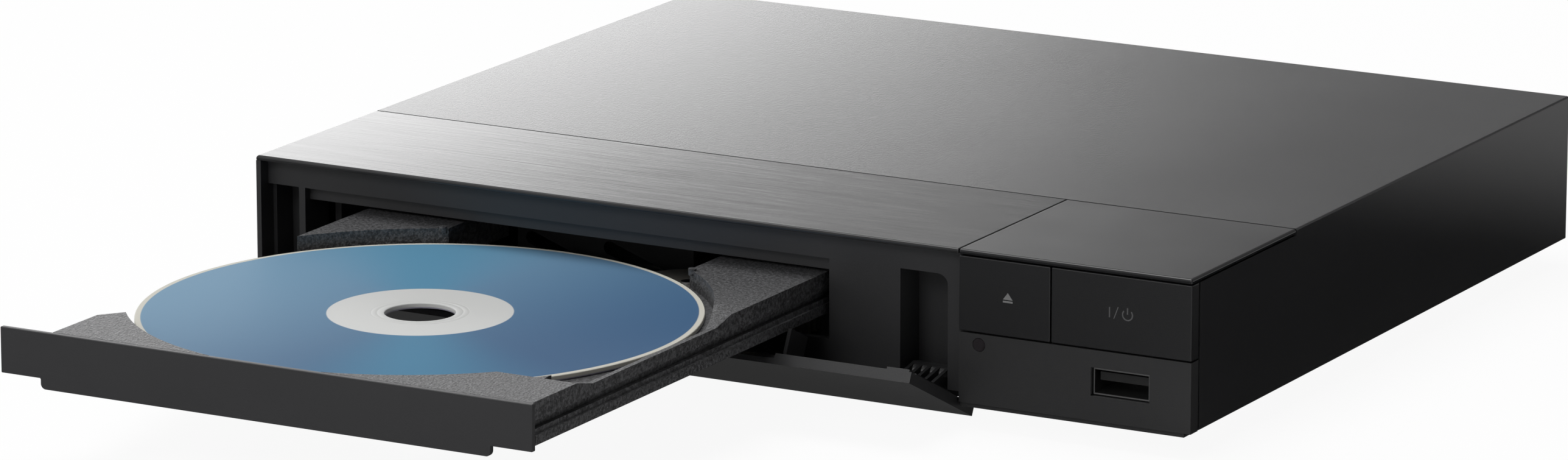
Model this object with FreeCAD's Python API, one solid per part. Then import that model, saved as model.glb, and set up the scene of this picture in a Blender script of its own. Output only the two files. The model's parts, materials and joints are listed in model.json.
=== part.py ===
import FreeCAD, Part

import math
import os

from FreeCAD import Vector

# Disc player with a motor-driven tray, shown with the tray out and the drop-down
# flap open. Millimetres. While modelling, x runs across the case from its middle,
# y runs back from the plane of the front face, and z runs up from the table. The
# finished pieces are moved so that the origin is the middle of the whole footprint,
# tray included.

# Case
CASE_W = 230.0        # width
CASE_D = 194.0        # depth, front face to rear edge of the cover
BODY_H = 33.5         # height of the case above its feet
FOOT_H = 5.5          # height of a rubber foot
FOOT_R = 8.0          # radius of a foot
FOOT_BEVEL = 0.8      # bevel round a foot's sole
FOOT_INSET_X = 23.0   # foot centre from the side
FOOT_FRONT_Y = 42.0   # front foot centre from the front face
FOOT_REAR_IN = 18.0   # rear foot centre from the rear edge
SHEET = 0.8           # sheet steel of cover, chassis, rear panel and bridge
SHELL = 1.5           # wall of the plastic front mouldings
SEAM = 0.3            # gap that shows between outer pieces
EDGE = 0.35           # bevel along the outer top edges
SIDE_H = 11.0         # upturned sides of the chassis
LIP_H = 6.0           # rear lip of the cover

# Screws
SCREW_HEAD_R = 2.6
SCREW_HEAD_T = 1.2
SCREW_R0 = 1.4        # shank of every screw
SCREW_SLOT = 0.6      # width of the slot in a head
THREAD_GAP = 0.05     # shank to the post it is driven into
HOLE_GAP = 0.2        # shank to the hole it passes through
REAR_SCREW_IN = 12.0  # outer rear screws from the sides
REAR_SCREW_DOWN = 3.0 # rear screws below the top
REAR_SCREW_L = 2.0    # shank behind the rear panel

# Vents
VENT_W = 3.0
VENT_L = 18.0
VENT_PITCH = 6.0
VENT_IN = 10.0        # floor vents from the main board's sides
VENT_ROWS = (26.0, 50.0)  # floor vents from the board's front edge
REAR_VENTS = 12
REAR_VENT_H = 12.0
REAR_VENT_PITCH = 7.0
REAR_VENT_IN = 20.0   # first rear vent from the left side
REAR_VENT_UP = 12.0   # rear vents above the chassis
FLANGE_D = 7.0        # foot flange of the rear panel

# Front: strip and cap on top, framed opening on the left, block on the right
TOP_D = 50.0          # depth of the brushed strip and the glossy cap
TOP_T = 1.1           # their thickness
SHELF_T = 1.6         # plastic shelf that carries them
SHELF_IN = 6.0        # the shelf ends this far before the strip's rear edge
SPLIT_W = 4.1         # border between the right slot and the seam to the button block
RECESS = 3.0          # frame face behind the front face
FACE_T = 2.0          # thickness of the frame face
CHEEK = 1.2           # left cheek that closes the frame's side
FRAME_GAP = 0.1       # frame inside the cover's sides
WRAP = 3.4            # how far the front pieces reach round the side
COVER_Y = 4.0         # front edge of the cover's sides
EJECT_W = 21.8        # eject button, seam to seam
BUTTON_Z = 21.2       # seam below the buttons
PLATE_T = 2.0         # front wall of buttons and lower panel
PRESS = 0.4           # travel of a button
PLUNGER_R = 2.0       # button plunger
PLUNGER_GAP = 0.3     # round the plunger
LOWER_LIFT = 0.2      # lower panel above the case's underside
LIP_DOWN = 0.8        # base lip below the case's underside
LIP_IN = 0.6          # and behind the front face
LIP_UP = 1.2          # height of the lip inside
BOSS_R = 2.5          # bosses behind the lower panel

# Opening for the tray and the two slots for the flap's arms
OPEN_INSET = 10.8     # left side of the case to the opening
OPEN_W = 131.8        # width of the opening
OPEN_Z0 = 14.5        # sill
OPEN_Z1 = 32.2        # top, shared with the slots
VISOR_Z = 29.3        # lower edge of the inner visor
VISOR_Y = 9.0         # back of the visor
PILLAR = 1.6          # wall between a slot and its neighbour
PANEL_W = 17.2        # plain panel between the opening and the right slot
SLOT_W = 11.4         # right slot
SLOT_R = 2.5          # its rounded upper corner
POCKET_Y = 11.5       # inner back wall of the slots
POCKET_T = 1.2        # thickness of that wall
SWING = 1.7           # the frame's lower edge is bevelled by this for the flap

# Flap, hinged below the opening
FLAP_T = 2.4          # plate
FLAP_GAP = 0.7        # shut flap to the strip above it
FLAP_LIFT = 0.2       # shut flap above the case's underside
FLAP_OPEN = 64.0      # angle at which it is shown
PIVOT_Y = 7.2         # hinge axis behind the front face
PIVOT_Z = 8.7         # hinge axis above the table
PIN_R = 1.2           # hinge pins
PIN_GAP = 0.1         # round the pins in the frame
PIN_IN = 0.8          # pins reach this far into the left cheek
ARM_RIB = 0.8         # thickness of one rib of an arm
ARM_RIBS = 5          # ribs in the right arm
ARM_GAP = 1.0         # arms to the slots' sides
ARM_UP = 13.5         # a rib's height up the plate
ARM_HUB_R = 2.6       # hub round the hinge pin
FIN_GAP = 0.3         # thin guide fin to the opening's side
FIN_D = 6.5           # how far the fin stands out
FIN_H = 7.9           # its height
STIFF = 0.5           # depth of the stiffening frame on the flap's back
STIFF_IN = 4.0        # its ends inside the opening's sides
LUG_H = 2.5           # lug at the free edge
BEVEL = 1.2           # the free edge thins by this where the tray passes over it
BEVEL_H = 2.8         # height of that bevel
SPRING_WIRE = 0.5     # torsion spring round the left hinge pin
SPRING_TURNS = 3
SPRING_W = 2.8        # room that the spring takes along the pin
SPRING_GAP = 0.3      # spring to its neighbours
SPRING_TURN = 30.0    # how the coil is turned on its pin, degrees
SPRING_LEGS = (4.2, 3.6)  # rear and front leg

# Disc
DISC_R = 60.0
DISC_T = 1.2
HOLE_R = 7.5
DISC_Y = -56.5        # disc centre with the tray out
DISC_Z = 24.5         # underside of the disc on its rest

# Tray
TRAY_TRAVEL = 122.0   # from fully out to fully in
TRAY_INSET = 14.2     # opening's left side to the deck
TRAY_W = 115.6        # width of its deck
DISC_IN = 52.0        # left side of the deck to the disc's centre
TRAY_FRONT = -117.0   # front of the tray's deck, against the front plate
TRAY_REAR = 25.0      # rear ends of the two arms
DECK_Z = 28.5         # top of the deck
DECK_T = 1.8
DIP_Z = 27.0          # top of the right side wall beside the disc
FLOOR_Z = 23.0        # top of the well's floor
FLOOR_T = 1.6
RAIL_Z = 19.7         # underside of the side rails
RAIL_T = 2.2
FLANGE = 0.6          # lower edge of the right rail stands proud
FLANGE_Z = 21.8
GROOVE_Z0 = 22.9      # guide groove along both sides
GROOVE_Z1 = 24.6
GROOVE_D = 1.2
WELL_GAP = 2.0        # well wall outside the disc
WELL_WALL = 1.6
REST_IN = 2.6         # rest ring reaches this far under the disc
REST_GAP = 0.05
WINDOW_LEFT = 27.0    # window for the turntable and pickup, from the disc's centre
WINDOW_RIGHT = 37.0
WINDOW_AHEAD = 20.5
CUT_IN = 5.6          # the left side is cut back by this where the disc overhangs it
CUT_YS = (-44.0, -37.1, 13.5, 19.5)  # that cut's corners from the disc's centre line
DIP_YS = (-43.0, -36.5)  # front slope of the dip on the right, from the same line
DIP_END = 14.5        # rear end of the dip
DIP_SLOPE = 6.0
RAMP_IN = 3.0         # the finger ramp starts this far before the dip's end
RAMP_END = 27.0       # and ends here
RAMP_LEFT = 6.0       # ramp beside the window
RAMP_WALL = 1.2       # wall outside the ramp
HOOK_R = 0.9          # two small hooks where the well meets the window
HOOK_H = 0.5
BEZEL_GAP = 1.9       # front plate to the opening's left side
BEZEL_GAP_R = 1.4     # and to its right side
BEZEL_T = 1.3
BEZEL_END_Z = 18.6    # underside at the ends
BEZEL_MID_Z = 16.3    # underside of the deeper middle
BEZEL_END = 9.8       # length of the shallow ends
BEZEL_R = 1.2         # round of the middle's lower corners
CLIP_W = 5.0          # clips behind the front plate
CLIP_T = 0.8
CLIP_IN = 12.0        # clips from the deck's sides

# Tray drive
MODULE = 1.0          # rack and its gear
DRIVE_TEETH = 20
RACK_IN = 14.6        # right side of the deck to the rack's pitch line
RACK_T = 2.2          # body of the rack behind its teeth
RACK_Z = 17.4         # underside of the rack
ROOT = 1.15           # tooth depth below the pitch line, in modules
TIP = 0.9             # tooth height above it
BACKLASH = 0.05       # off each tooth flank
DRIVE_Y = 20.0        # centre of the tray gear
GEAR_GAP = 0.3        # gear below the tray's floor
FINE_MODULE = 0.8     # second stage
WHEEL_TEETH = 32
PINION_TEETH = 15
PINION_ANGLE = 175.0  # direction of the pulley gear from the tray gear, degrees
STAGE_Z0 = 10.4
STAGE_Z1 = 13.2
GEAR_HUB_R = 5.0
PULLEY_Z0 = 13.9
PULLEY_Z1 = 17.0
PULLEY_R = 11.2       # groove
PULLEY_FLANGE = 1.8
PULLEY_HUB_R = 4.2
MOTOR_PULLEY_R = 2.4
MOTOR_FLANGE = 1.6
BELT = 1.2            # square belt
BELT_GAP = 0.15
MOTOR_REACH = 42.3    # motor to the pulley gear, across the case
MOTOR_Y = 25.2
MOTOR_R = 10.0
MOTOR_Z0 = 6.9
MOTOR_EAR = 13.0      # half length of its mounting strap
MOTOR_EAR_W = 6.0
SHAFT_R = 0.7
AXLE_R = 1.5
FIT = 0.15            # running clearance round an axle

# Loader frame
BASE_Z0 = 8.0
BASE_Z1 = 9.6
LOADER_LEFT = 13.0    # loader beyond the deck's left side
LOADER_RIGHT = 10.4   # and beyond its right side
LOADER_Y0 = 13.5
LOADER_Y1 = 152.0
LOADER_WALL = 1.6
GUIDE_GAP = 1.2       # tray side to guide wall on the left
GUIDE_GAP_R = 1.0     # and on the right
LEDGE_GAP = 0.2       # tray rail to its ledge
LEDGE_IN = 0.8        # ledge beyond the rail's inner side
TAB_L = 6.0           # guide tabs in the grooves
TAB_IN = 0.6          # tab short of the groove's floor
TAB_GAP = 0.3         # tab above and below
TAB_YS = (0.0, 10.0, 118.5)  # tabs from the loader's front
LEFT_WALL_T = 2.4
LEFT_WALL_Z = 23.6    # left guide wall stays under the disc
WALL_DOWN = 3.0       # long walls below the bridge

# Traverse: hinged at the rear, lifted at the front by a sliding cam
HINGE_Y = 142.0
HINGE_Z = 14.6
BUSH_R = 3.4          # rubber bushings round the rear stubs
BUSH_W = 3.2
BUSH_FIT = 0.02
STUB_R = 1.6
STUB_L = 4.0
STUB_FIT = 0.05
PIVOT_WALL = 3.6      # upright that holds a bushing
PIVOT_GAP = 1.0       # upright to the traverse
TRAVERSE_LEFT = 28.0  # from the spindle's centre line
TRAVERSE_RIGHT = 32.0
TRAVERSE_Y0 = 41.0
TRAVERSE_Y1 = 146.0
TRAVERSE_Z0 = 14.0
TRAVERSE_T = 1.2
LIFT = 4.2            # lift at the turntable
CAM_TRAVEL = 16.0
CAM_PIN_R = 1.25
CAM_PIN_Z = 18.0      # pin height with the traverse up
CAM_PINS = (8.0, -12.0)  # from the spindle's centre line
CAM_Y0 = 37.0
CAM_T = 1.6
CAM_GAP = 0.25        # slot round its pin
CAM_LIFT = 0.1        # cam above the loader's base
CAM_RAIL_T = 1.3      # rail in front of the cam
CAM_END = 0.4         # play at a slot's ends

# Disc drive on the traverse
SEAT_DOWN = 0.3       # turntable under the disc with the traverse up
SEAT_R = 14.5
CONE_R = 7.2
CONE_H = 2.2
ROTOR_R = 12.5
ROTOR_WALL = 1.2
BELL_UP = 2.1         # bell above the traverse's plate
BELL_ROOM = 6.2       # height inside it
STATOR_R = 9.5
STATOR_H = 5.6
STATOR_W = 30.0       # base plate under it
STATOR_D = 28.0
STATOR_FRONT = 15.0   # base plate ahead of the spindle
STATOR_T = 1.6
SEAT_T = 1.8
SPINDLE_R = 1.6
ROD_R = 1.5
ROD_DX = 21.0
ROD_Z = 19.2
ROD_FIT = 0.12        # round the sliding rod
ROD_FRONT = 8.0       # front rod block behind the spindle
BLOCK_W = 5.2         # blocks that hold the rods
BLOCK_L = 3.0
SLED_TRAVEL = 36.0
LENS_BACK = 22.0      # lens behind the spindle at the inner end of its travel
LENS_R = 2.7
SLED_FRONT = 7.0      # sled ahead of the lens
SLED_REAR = 17.0      # and behind it
SLED_IN = 4.0         # sled's body inside the main rod
SLED_IN_R = 2.6       # and inside the other rod
SLED_DOWN = 1.6       # body below the rods' axes
SLED_UP = 2.0         # and above them
BUSHING_R = 2.6       # bushings on the main rod
BUSHING_L = 6.0
FORK_H = 5.2          # fork round the other rod
NUT_L = 6.0
NUT_H = 2.4
ACTUATOR_W = 16.0     # lens actuator
ACTUATOR_D = 14.0
ACTUATOR_H = 1.4
NUT_AT = 11.0         # half nut behind the sled's front
SCREW_R = 1.5
SCREW_DX = 27.0       # lead screw from the spindle's centre line
SCREW_Z = 20.0
SCREW_PITCH = 3.0
SCREW_DEPTH = 0.4
SCREW_END_R = 1.1     # its turned-down ends
FEED_R = 4.2
FEED_L = 9.0

# Clamp above the disc
CLAMP_GAP = 0.6       # puck above the disc
PUCK_R = 15.0
PUCK_FLANGE = 3.0
PUCK_WALL = 1.6
PUCK_FLOOR = 2.2
PUCK_NOSE = 0.6       # its bore round the cone
MAGNET_T = 2.4
BRIDGE_Z = 31.6
BRIDGE_Y0 = 45.0
BRIDGE_Y1 = 86.0
BRIDGE_RIB = 2.4

# Boards and sockets
BOARD_T = 1.6
BOARD_GAP = 2.0       # loader to the main board
BOARD_SIDE = 6.0      # main board to the case's side
BOARD_Y0 = 64.0
BOARD_REAR = 11.0     # main board to the case's rear
TONGUE_W = 28.0       # the board reaches behind the loader by this
TONGUE_GAP = 3.0      # and keeps this off the loader's rear
BOARD_Z = 12.0
BOARD_INSET = 4.0     # post centre from the board's edges
BOARD_POST_REAR = 18.0  # rear posts from the board's rear edge
POST_R = 2.6
POST_PLUS = 0.6       # the loader's posts are larger by this
SOC_BACK = 46.0       # main chip behind the board's front edge
SOC_W = 20.0
SOC_T = 1.6
CHIP_T = 1.2
COIL_T = 3.4
# other chips and coils from the main chip: left, front, width, depth, height
CHIPS = (
    (-21.5, -26.0, 8.5, 14.0, CHIP_T),
    (13.0, -6.0, 8.5, 12.0, CHIP_T),
    (-8.0, -32.0, 14.0, 10.0, CHIP_T),
    (-21.0, 24.0, 8.0, 8.0, COIL_T),
    (13.0, 22.0, 8.0, 8.0, COIL_T),
)
CAPACITOR_R = 3.2
CAPACITOR_H = 9.0
CAPACITORS = ((-18.0, -34.0), (-10.0, -38.0), (18.0, -30.0), (18.0, 13.0), (-18.0, 38.0))
HEATSINK_W = 24.4
HEATSINK_BASE = 1.8
FINS = 7
FIN_T = 1.2
FINS_H = 9.0
FRONT_BOARD_Y = 8.6
SWITCH_W = 6.0
SWITCH_T = 2.2
KEY_R = 1.6           # button of a switch
KEY_H = 0.65
KEY_GAP = 0.1         # switch to the pressed plunger
LENS_IN = 4.9         # remote window from the block's left seam
LENS_Z = 18.7
WINDOW_R = 1.4
PORT_IN = 16.5        # front socket from the case's side
PORT_Z = 14.2
PORT_W = 13.2
PORT_H = 5.7
PORT_L = 14.1
PORT_BACK = 0.9       # its mouth behind the front face
PORT_SHEET = 0.3
PORT_GAP = 0.25
TONGUE_T = 1.8        # plastic tongue inside
AUDIO_IN = 13.0       # rear sockets from the case's right side
NETWORK_IN = 33.0
VIDEO_IN = 55.0
INLET_IN = 68.0
SOCKET_GAP = 0.3      # cut-out round a socket
SOCKET_BACK = 0.3     # socket faces before the rear edge
# widths and heights of the rear sockets, and how far they reach over the board
VIDEO_W, VIDEO_H, VIDEO_L = 15.0, 6.1, 9.0
VIDEO_SHEET = 0.4
NETWORK_W, NETWORK_H, NETWORK_L = 16.0, 13.5, 14.0
NETWORK_BAY_W, NETWORK_BAY_H, NETWORK_BAY_UP = 11.8, 7.8, 3.4
AUDIO_W, AUDIO_H, AUDIO_L = 11.0, 13.0, 9.0
AUDIO_UP = 7.5        # barrel's centre above the board
AUDIO_R = 4.15        # audio barrel
AUDIO_BORE_R = 1.65
BARREL = 5.5          # it stands out behind the rear edge
INLET_W, INLET_H, INLET_L = 9.0, 11.0, 11.0
INLET_UP = 5.6
INLET_R = 3.1         # power inlet's bore
INLET_PIN_R = 0.9
RADIO_IN = 15.0       # radio module from the left side
RADIO_W = 34.0
RADIO_D = 16.0
RADIO_REAR = 4.0      # and from the rear edge
RADIO_T = 1.0
RIBBON_T = 0.3
LOADER_RIBBON_W = 14.0
FRONT_RIBBON_W = 10.0

# Derived planes
X0, X1 = -CASE_W / 2, CASE_W / 2
Z0, Z1 = FOOT_H, FOOT_H + BODY_H
TOP_Z = Z1 - TOP_T
SHELF_Z = TOP_Z - SHELF_T
FACE_Y = RECESS + FACE_T
FLOOR_TOP = Z0 + SHEET
REAR_Y = CASE_D - 2 * SHEET
CHASSIS_X = X1 - SHEET - SEAM
POCKET_BACK = POCKET_Y + POCKET_T
FRAME_X0 = X0 + SHEET + FRAME_GAP
FRAME_X1 = X1 - SHELL - SEAM
OPEN_X0 = X0 + OPEN_INSET
OPEN_X1 = OPEN_X0 + OPEN_W
SLOT_X0 = OPEN_X1 + PANEL_W
SLOT_X1 = SLOT_X0 + SLOT_W
SPLIT_X = SLOT_X1 + SPLIT_W
BUTTON_SPLIT_X = SPLIT_X + EJECT_W
BUTTON_MID_Z = (BUTTON_Z + TOP_Z) / 2
EJECT_X = (SPLIT_X + BUTTON_SPLIT_X) / 2
POWER_X = (BUTTON_SPLIT_X + X1) / 2
FLAP_TOP = TOP_Z - FLAP_GAP
FLAP_BOTTOM = Z0 + FLAP_LIFT
FIN_X = OPEN_X1 - FIN_GAP - ARM_RIB
SPRING_X = FRAME_X0 + CHEEK + SPRING_GAP
# x range of the hinge pin at each end of the flap
PINS = (
    (FRAME_X0 + CHEEK - PIN_IN, OPEN_X0 - SEAM),
    (SLOT_X0 - PILLAR + SEAM, SLOT_X1 + PILLAR - SEAM),
)
TRAY_X0 = OPEN_X0 + TRAY_INSET
TRAY_X1 = TRAY_X0 + TRAY_W
DISC_X = TRAY_X0 + DISC_IN
WELL_R = DISC_R + WELL_GAP
WINDOW_X0 = DISC_X - WINDOW_LEFT
WINDOW_X1 = DISC_X + WINDOW_RIGHT
WINDOW_FRONT = DISC_Y - WINDOW_AHEAD
FLOOR_UNDER = FLOOR_Z - FLOOR_T
BEZEL_X0 = OPEN_X0 + BEZEL_GAP
BEZEL_X1 = OPEN_X1 - BEZEL_GAP_R
RACK_PITCH_X = TRAY_X1 - RACK_IN
RACK_ROOT_X = RACK_PITCH_X + ROOT * MODULE
RACK_BACK_X = RACK_ROOT_X + RACK_T
DRIVE_X = RACK_PITCH_X - MODULE * DRIVE_TEETH / 2
WHEEL_R = FINE_MODULE * WHEEL_TEETH / 2
PINION_R = FINE_MODULE * PINION_TEETH / 2
PULLEY_X = DRIVE_X + (WHEEL_R + PINION_R) * math.cos(math.radians(PINION_ANGLE))
PULLEY_Y = DRIVE_Y + (WHEEL_R + PINION_R) * math.sin(math.radians(PINION_ANGLE))
MOTOR_X = PULLEY_X - MOTOR_REACH
BELT_Z0 = (PULLEY_Z0 + PULLEY_Z1 - BELT) / 2
BELT_Z1 = BELT_Z0 + BELT
LOADER_X0 = TRAY_X0 - LOADER_LEFT
LOADER_X1 = TRAY_X1 + LOADER_RIGHT
GUIDE_X0 = TRAY_X0 - GUIDE_GAP
GUIDE_X1 = TRAY_X1 + FLANGE + GUIDE_GAP_R
SPINDLE_Y = DISC_Y + TRAY_TRAVEL
SEAT_Z = DISC_Z - SEAT_DOWN
TRAVERSE_X0 = DISC_X - TRAVERSE_LEFT
TRAVERSE_X1 = DISC_X + TRAVERSE_RIGHT
TRAVERSE_TOP = TRAVERSE_Z0 + TRAVERSE_T
TILT = math.degrees(math.asin(LIFT / (HINGE_Y - SPINDLE_Y)))
CAM_RISE = (HINGE_Y - CAM_Y0 - CAM_T / 2) * math.sin(math.radians(TILT))
CAM_PIN_XS = tuple(DISC_X + dx for dx in CAM_PINS)
CAM_X0 = min(CAM_PIN_XS) - CAM_TRAVEL - 4
CAM_X1 = max(CAM_PIN_XS) + 5
LENS_Y = SPINDLE_Y + LENS_BACK
SCREW_X = DISC_X + SCREW_DX
SCREW_Y0 = LENS_Y - SLED_FRONT + 1
FEED_Y0 = LENS_Y + SLED_TRAVEL + FEED_L
ROD_Y0 = SPINDLE_Y + ROD_FRONT
ROD_Y1 = TRAVERSE_Y1 - 1.8
PUCK_Z0 = DISC_Z + DISC_T + CLAMP_GAP
BOARD_TOP = BOARD_Z + BOARD_T
BOARD_X0 = LOADER_X1 + BOARD_GAP
BOARD_X1 = X1 - BOARD_SIDE
BOARD_Y1 = CASE_D - BOARD_REAR
SOC_X = (BOARD_X0 + BOARD_X1) / 2
SOC_Y = BOARD_Y0 + SOC_BACK
LENS_X = SPLIT_X + LENS_IN
PORT_X = X1 - PORT_IN
AUDIO_X = X1 - AUDIO_IN
AUDIO_Z = BOARD_TOP + AUDIO_UP
NETWORK_X = X1 - NETWORK_IN
VIDEO_X = X1 - VIDEO_IN
INLET_X = X1 - INLET_IN
RIBBON_Y = HINGE_Y - 36
REAR_SCREW_Z = Z1 - REAR_SCREW_DOWN
REAR_SCREW_XS = (X0 + REAR_SCREW_IN, 0.0, X1 - REAR_SCREW_IN)
LOADER_POSTS = [
    (x, y)
    for x in (LOADER_X0 + 4.4, LOADER_X1 - 3.6)
    for y in (LOADER_Y0 + 6, LOADER_Y1 - 5)
]
BOARD_POSTS = [
    (x, y)
    for x in (BOARD_X0 + BOARD_INSET, BOARD_X1 - BOARD_INSET)
    for y in (BOARD_Y0 + BOARD_INSET, BOARD_Y1 - BOARD_POST_REAR)
]
RADIO_X0 = X0 + RADIO_IN
RADIO_Y1 = CASE_D - RADIO_REAR
RADIO_POSTS = [(x, RADIO_Y1 - RADIO_D / 2) for x in (RADIO_X0 + 5, RADIO_X0 + RADIO_W - 5)]
ORIGIN_Y = (TRAY_FRONT - BEZEL_T + CASE_D + BARREL) / 2


def box(x0, x1, y0, y1, z0, z1):
    return Part.makeBox(x1 - x0, y1 - y0, z1 - z0, Vector(x0, y0, z0))


def rod(r, a, b):
    """Cylinder of radius r between two points."""
    a, b = Vector(*a), Vector(*b)
    return Part.makeCylinder(r, (b - a).Length, a, b - a)


def rod_x(r, span, y, z):
    return rod(r, (span[0], y, z), (span[1], y, z))


def rod_y(r, x, y0, y1, z):
    return rod(r, (x, y0, z), (x, y1, z))


def post(r, x, y, z0, z1):
    return rod(r, (x, y, z0), (x, y, z1))


def tube(r_out, r_in, x, y, z0, z1):
    return post(r_out, x, y, z0, z1).cut(post(r_in, x, y, z0, z1))


def prism(points, along):
    """Straight solid on a closed outline of points, run along a vector."""
    wire = Part.makePolygon([Vector(*p) for p in points + points[:1]])
    return Part.Face(wire).extrude(Vector(*along))


def profile_x(points, x0, x1):
    """Straight solid across the case on an outline of (y, z) points."""
    return prism([(x0, y, z) for y, z in points], (x1 - x0, 0, 0))


def join(*shapes):
    body = shapes[0].multiFuse(list(shapes[1:])) if len(shapes) > 1 else shapes[0]
    return body.removeSplitter()


def group(shapes):
    return Part.makeCompound(list(shapes))


def slot_cut(x0, x1, y0, y1, z0, z1):
    """Slot with round ends along y, standing in z."""
    r = (x1 - x0) / 2
    x = (x0 + x1) / 2
    middle = box(x0, x1, y0 + r, y1 - r, z0, z1)
    return join(middle, post(r, x, y0 + r, z0, z1), post(r, x, y1 - r, z0, z1))


def soften(shape, size, pick):
    """Bevel the edges of a shape that the test picks."""
    edges = [e for e in shape.Edges if pick(e.BoundBox)]
    return shape.makeChamfer(size, edges)


def gear_outline(teeth, module, x, y, z, turn):
    """Closed involute outline; a tooth is centred on the turn angle in radians."""
    pitch = module * teeth / 2
    base = pitch * math.cos(math.radians(20))
    tip, root = pitch + TIP * module, pitch - ROOT * module
    roll = math.tan(math.radians(20)) - math.radians(20)
    half = math.pi / (2 * teeth) - BACKLASH / pitch
    flank = []
    low = max(base, root)
    for i in range(6):
        r = low + (tip - low) * i / 5
        lean = math.acos(min(1.0, base / r))
        flank.append((r, half + roll - (math.tan(lean) - lean)))
    if root < base:
        flank.insert(0, (root, flank[0][1]))
    points = []
    for t in range(teeth):
        a = turn + 2 * math.pi * t / teeth
        for r, off in flank:
            points.append((x + r * math.cos(a - off), y + r * math.sin(a - off), z))
        for r, off in reversed(flank):
            points.append((x + r * math.cos(a + off), y + r * math.sin(a + off), z))
    return points


def gear(teeth, module, x, y, z0, z1, turn=0.0):
    return prism(gear_outline(teeth, module, x, y, z0, turn), (0, 0, z1 - z0))


def belt_loop(grow):
    """Solid inside a tight loop round the two pulleys, both radii grown alike."""
    a, b = Vector(PULLEY_X, PULLEY_Y, BELT_Z0), Vector(MOTOR_X, MOTOR_Y, BELT_Z0)
    r1, r2 = PULLEY_R + grow, MOTOR_PULLEY_R + grow
    line = b - a
    side = math.acos((r1 - r2) / line.Length)
    facing = math.atan2(line.y, line.x)

    def at(centre, r, angle):
        return centre + Vector(r * math.cos(angle), r * math.sin(angle), 0)

    up, down = facing + side, facing - side
    a1, b1, b2, a2 = at(a, r1, up), at(b, r2, up), at(b, r2, down), at(a, r1, down)
    edges = [
        Part.makeLine(a1, b1),
        Part.Arc(b1, at(b, r2, facing), b2).toShape(),
        Part.makeLine(b2, a2),
        Part.Arc(a2, at(a, r1, facing + math.pi), a1).toShape(),
    ]
    return Part.Face(Part.Wire(edges)).extrude(Vector(0, 0, BELT))


def lowered(shape):
    """Traverse pieces are drawn level and shown tipped down at the front."""
    shape.rotate(Vector(0, HINGE_Y, HINGE_Z), Vector(1, 0, 0), TILT)
    return shape


def opened(shape):
    """Flap pieces are drawn shut and shown open."""
    shape.rotate(Vector(0, PIVOT_Y, PIVOT_Z), Vector(1, 0, 0), FLAP_OPEN)
    return shape


def screw(x, y, seat, tip):
    """Slotted screw whose head lies on a seat and whose shank goes down to its tip."""
    head = post(SCREW_HEAD_R, x, y, seat, seat + SCREW_HEAD_T)
    half = SCREW_SLOT / 2
    slot = box(x - SCREW_HEAD_R, x + SCREW_HEAD_R, y - half, y + half, seat + SCREW_HEAD_T / 2, Z1)
    return join(head.cut(slot), post(SCREW_R0, x, y, tip, seat))


# Outer case

def top_cover():
    """Folded steel cover: top behind the strip, two sides and a rear lip."""
    top = box(X0, X1, TOP_D + SEAM, CASE_D, Z1 - SHEET, Z1)
    left = box(X0, X0 + SHEET, COVER_Y, CASE_D, Z0 + SEAM, Z1)
    right = box(X1 - SHEET, X1, COVER_Y, CASE_D, Z0 + SEAM, Z1)
    lip = box(X0, X1, CASE_D - SHEET, CASE_D, Z1 - LIP_H, Z1)
    step = box(X0, X1, 0, TOP_D + SEAM, TOP_Z - SEAM, Z1)
    cover = join(top, left, right, lip).cut(step)

    def long_top_edge(b):
        return b.ZMin > Z1 - 0.01 and b.YLength > TOP_D and abs(abs(b.XMin) - X1) < 0.01

    cover = soften(cover, EDGE, long_top_edge)
    holes = [
        rod_y(SCREW_R0 + HOLE_GAP, x, CASE_D - SHEET, CASE_D, REAR_SCREW_Z)
        for x in REAR_SCREW_XS
    ]
    return cover.cut(holes)


def cover_screws():
    """Three slotted screws through the rear lip."""
    screws = []
    for x in REAR_SCREW_XS:
        head = rod_y(SCREW_HEAD_R, x, CASE_D, CASE_D + SCREW_HEAD_T, REAR_SCREW_Z)
        half = SCREW_SLOT / 2
        slot = box(x - SCREW_HEAD_R, x + SCREW_HEAD_R, CASE_D + SCREW_HEAD_T / 2, CASE_D + BARREL,
                   REAR_SCREW_Z - half, REAR_SCREW_Z + half)
        shank = rod_y(SCREW_R0, x, REAR_Y - REAR_SCREW_L, CASE_D, REAR_SCREW_Z)
        screws.append(join(head.cut(slot), shank))
    return group(screws)


def bottom_chassis():
    """Steel floor with upturned sides, posts for loader and boards, and vents."""
    x = CHASSIS_X
    floor = box(-x, x, POCKET_BACK, REAR_Y, Z0, FLOOR_TOP)
    sides = [
        box(a, b, POCKET_BACK, REAR_Y, Z0, Z0 + SIDE_H)
        for a, b in ((-x, SHEET - x), (x - SHEET, x))
    ]
    posts = [post(POST_R + POST_PLUS, px, py, FLOOR_TOP, BASE_Z0) for px, py in LOADER_POSTS]
    posts += [post(POST_R, px, py, FLOOR_TOP, BOARD_Z) for px, py in BOARD_POSTS]
    posts += [post(POST_R, px, py, FLOOR_TOP, BASE_Z0) for px, py in RADIO_POSTS]
    room = BOARD_X1 - BOARD_X0 - 2 * VENT_IN - VENT_W
    vents = []
    for i in range(int(room / VENT_PITCH) + 1):
        vx = BOARD_X0 + VENT_IN + VENT_PITCH * i
        for row in VENT_ROWS:
            vy = BOARD_Y0 + row
            vents.append(slot_cut(vx, vx + VENT_W, vy, vy + VENT_L, Z0, FLOOR_TOP))
    bores = [
        post(SCREW_R0 + THREAD_GAP, px, py, FLOOR_TOP, Z1)
        for px, py in LOADER_POSTS + BOARD_POSTS
    ]
    return join(floor, *sides, *posts).cut(vents + bores)


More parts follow.
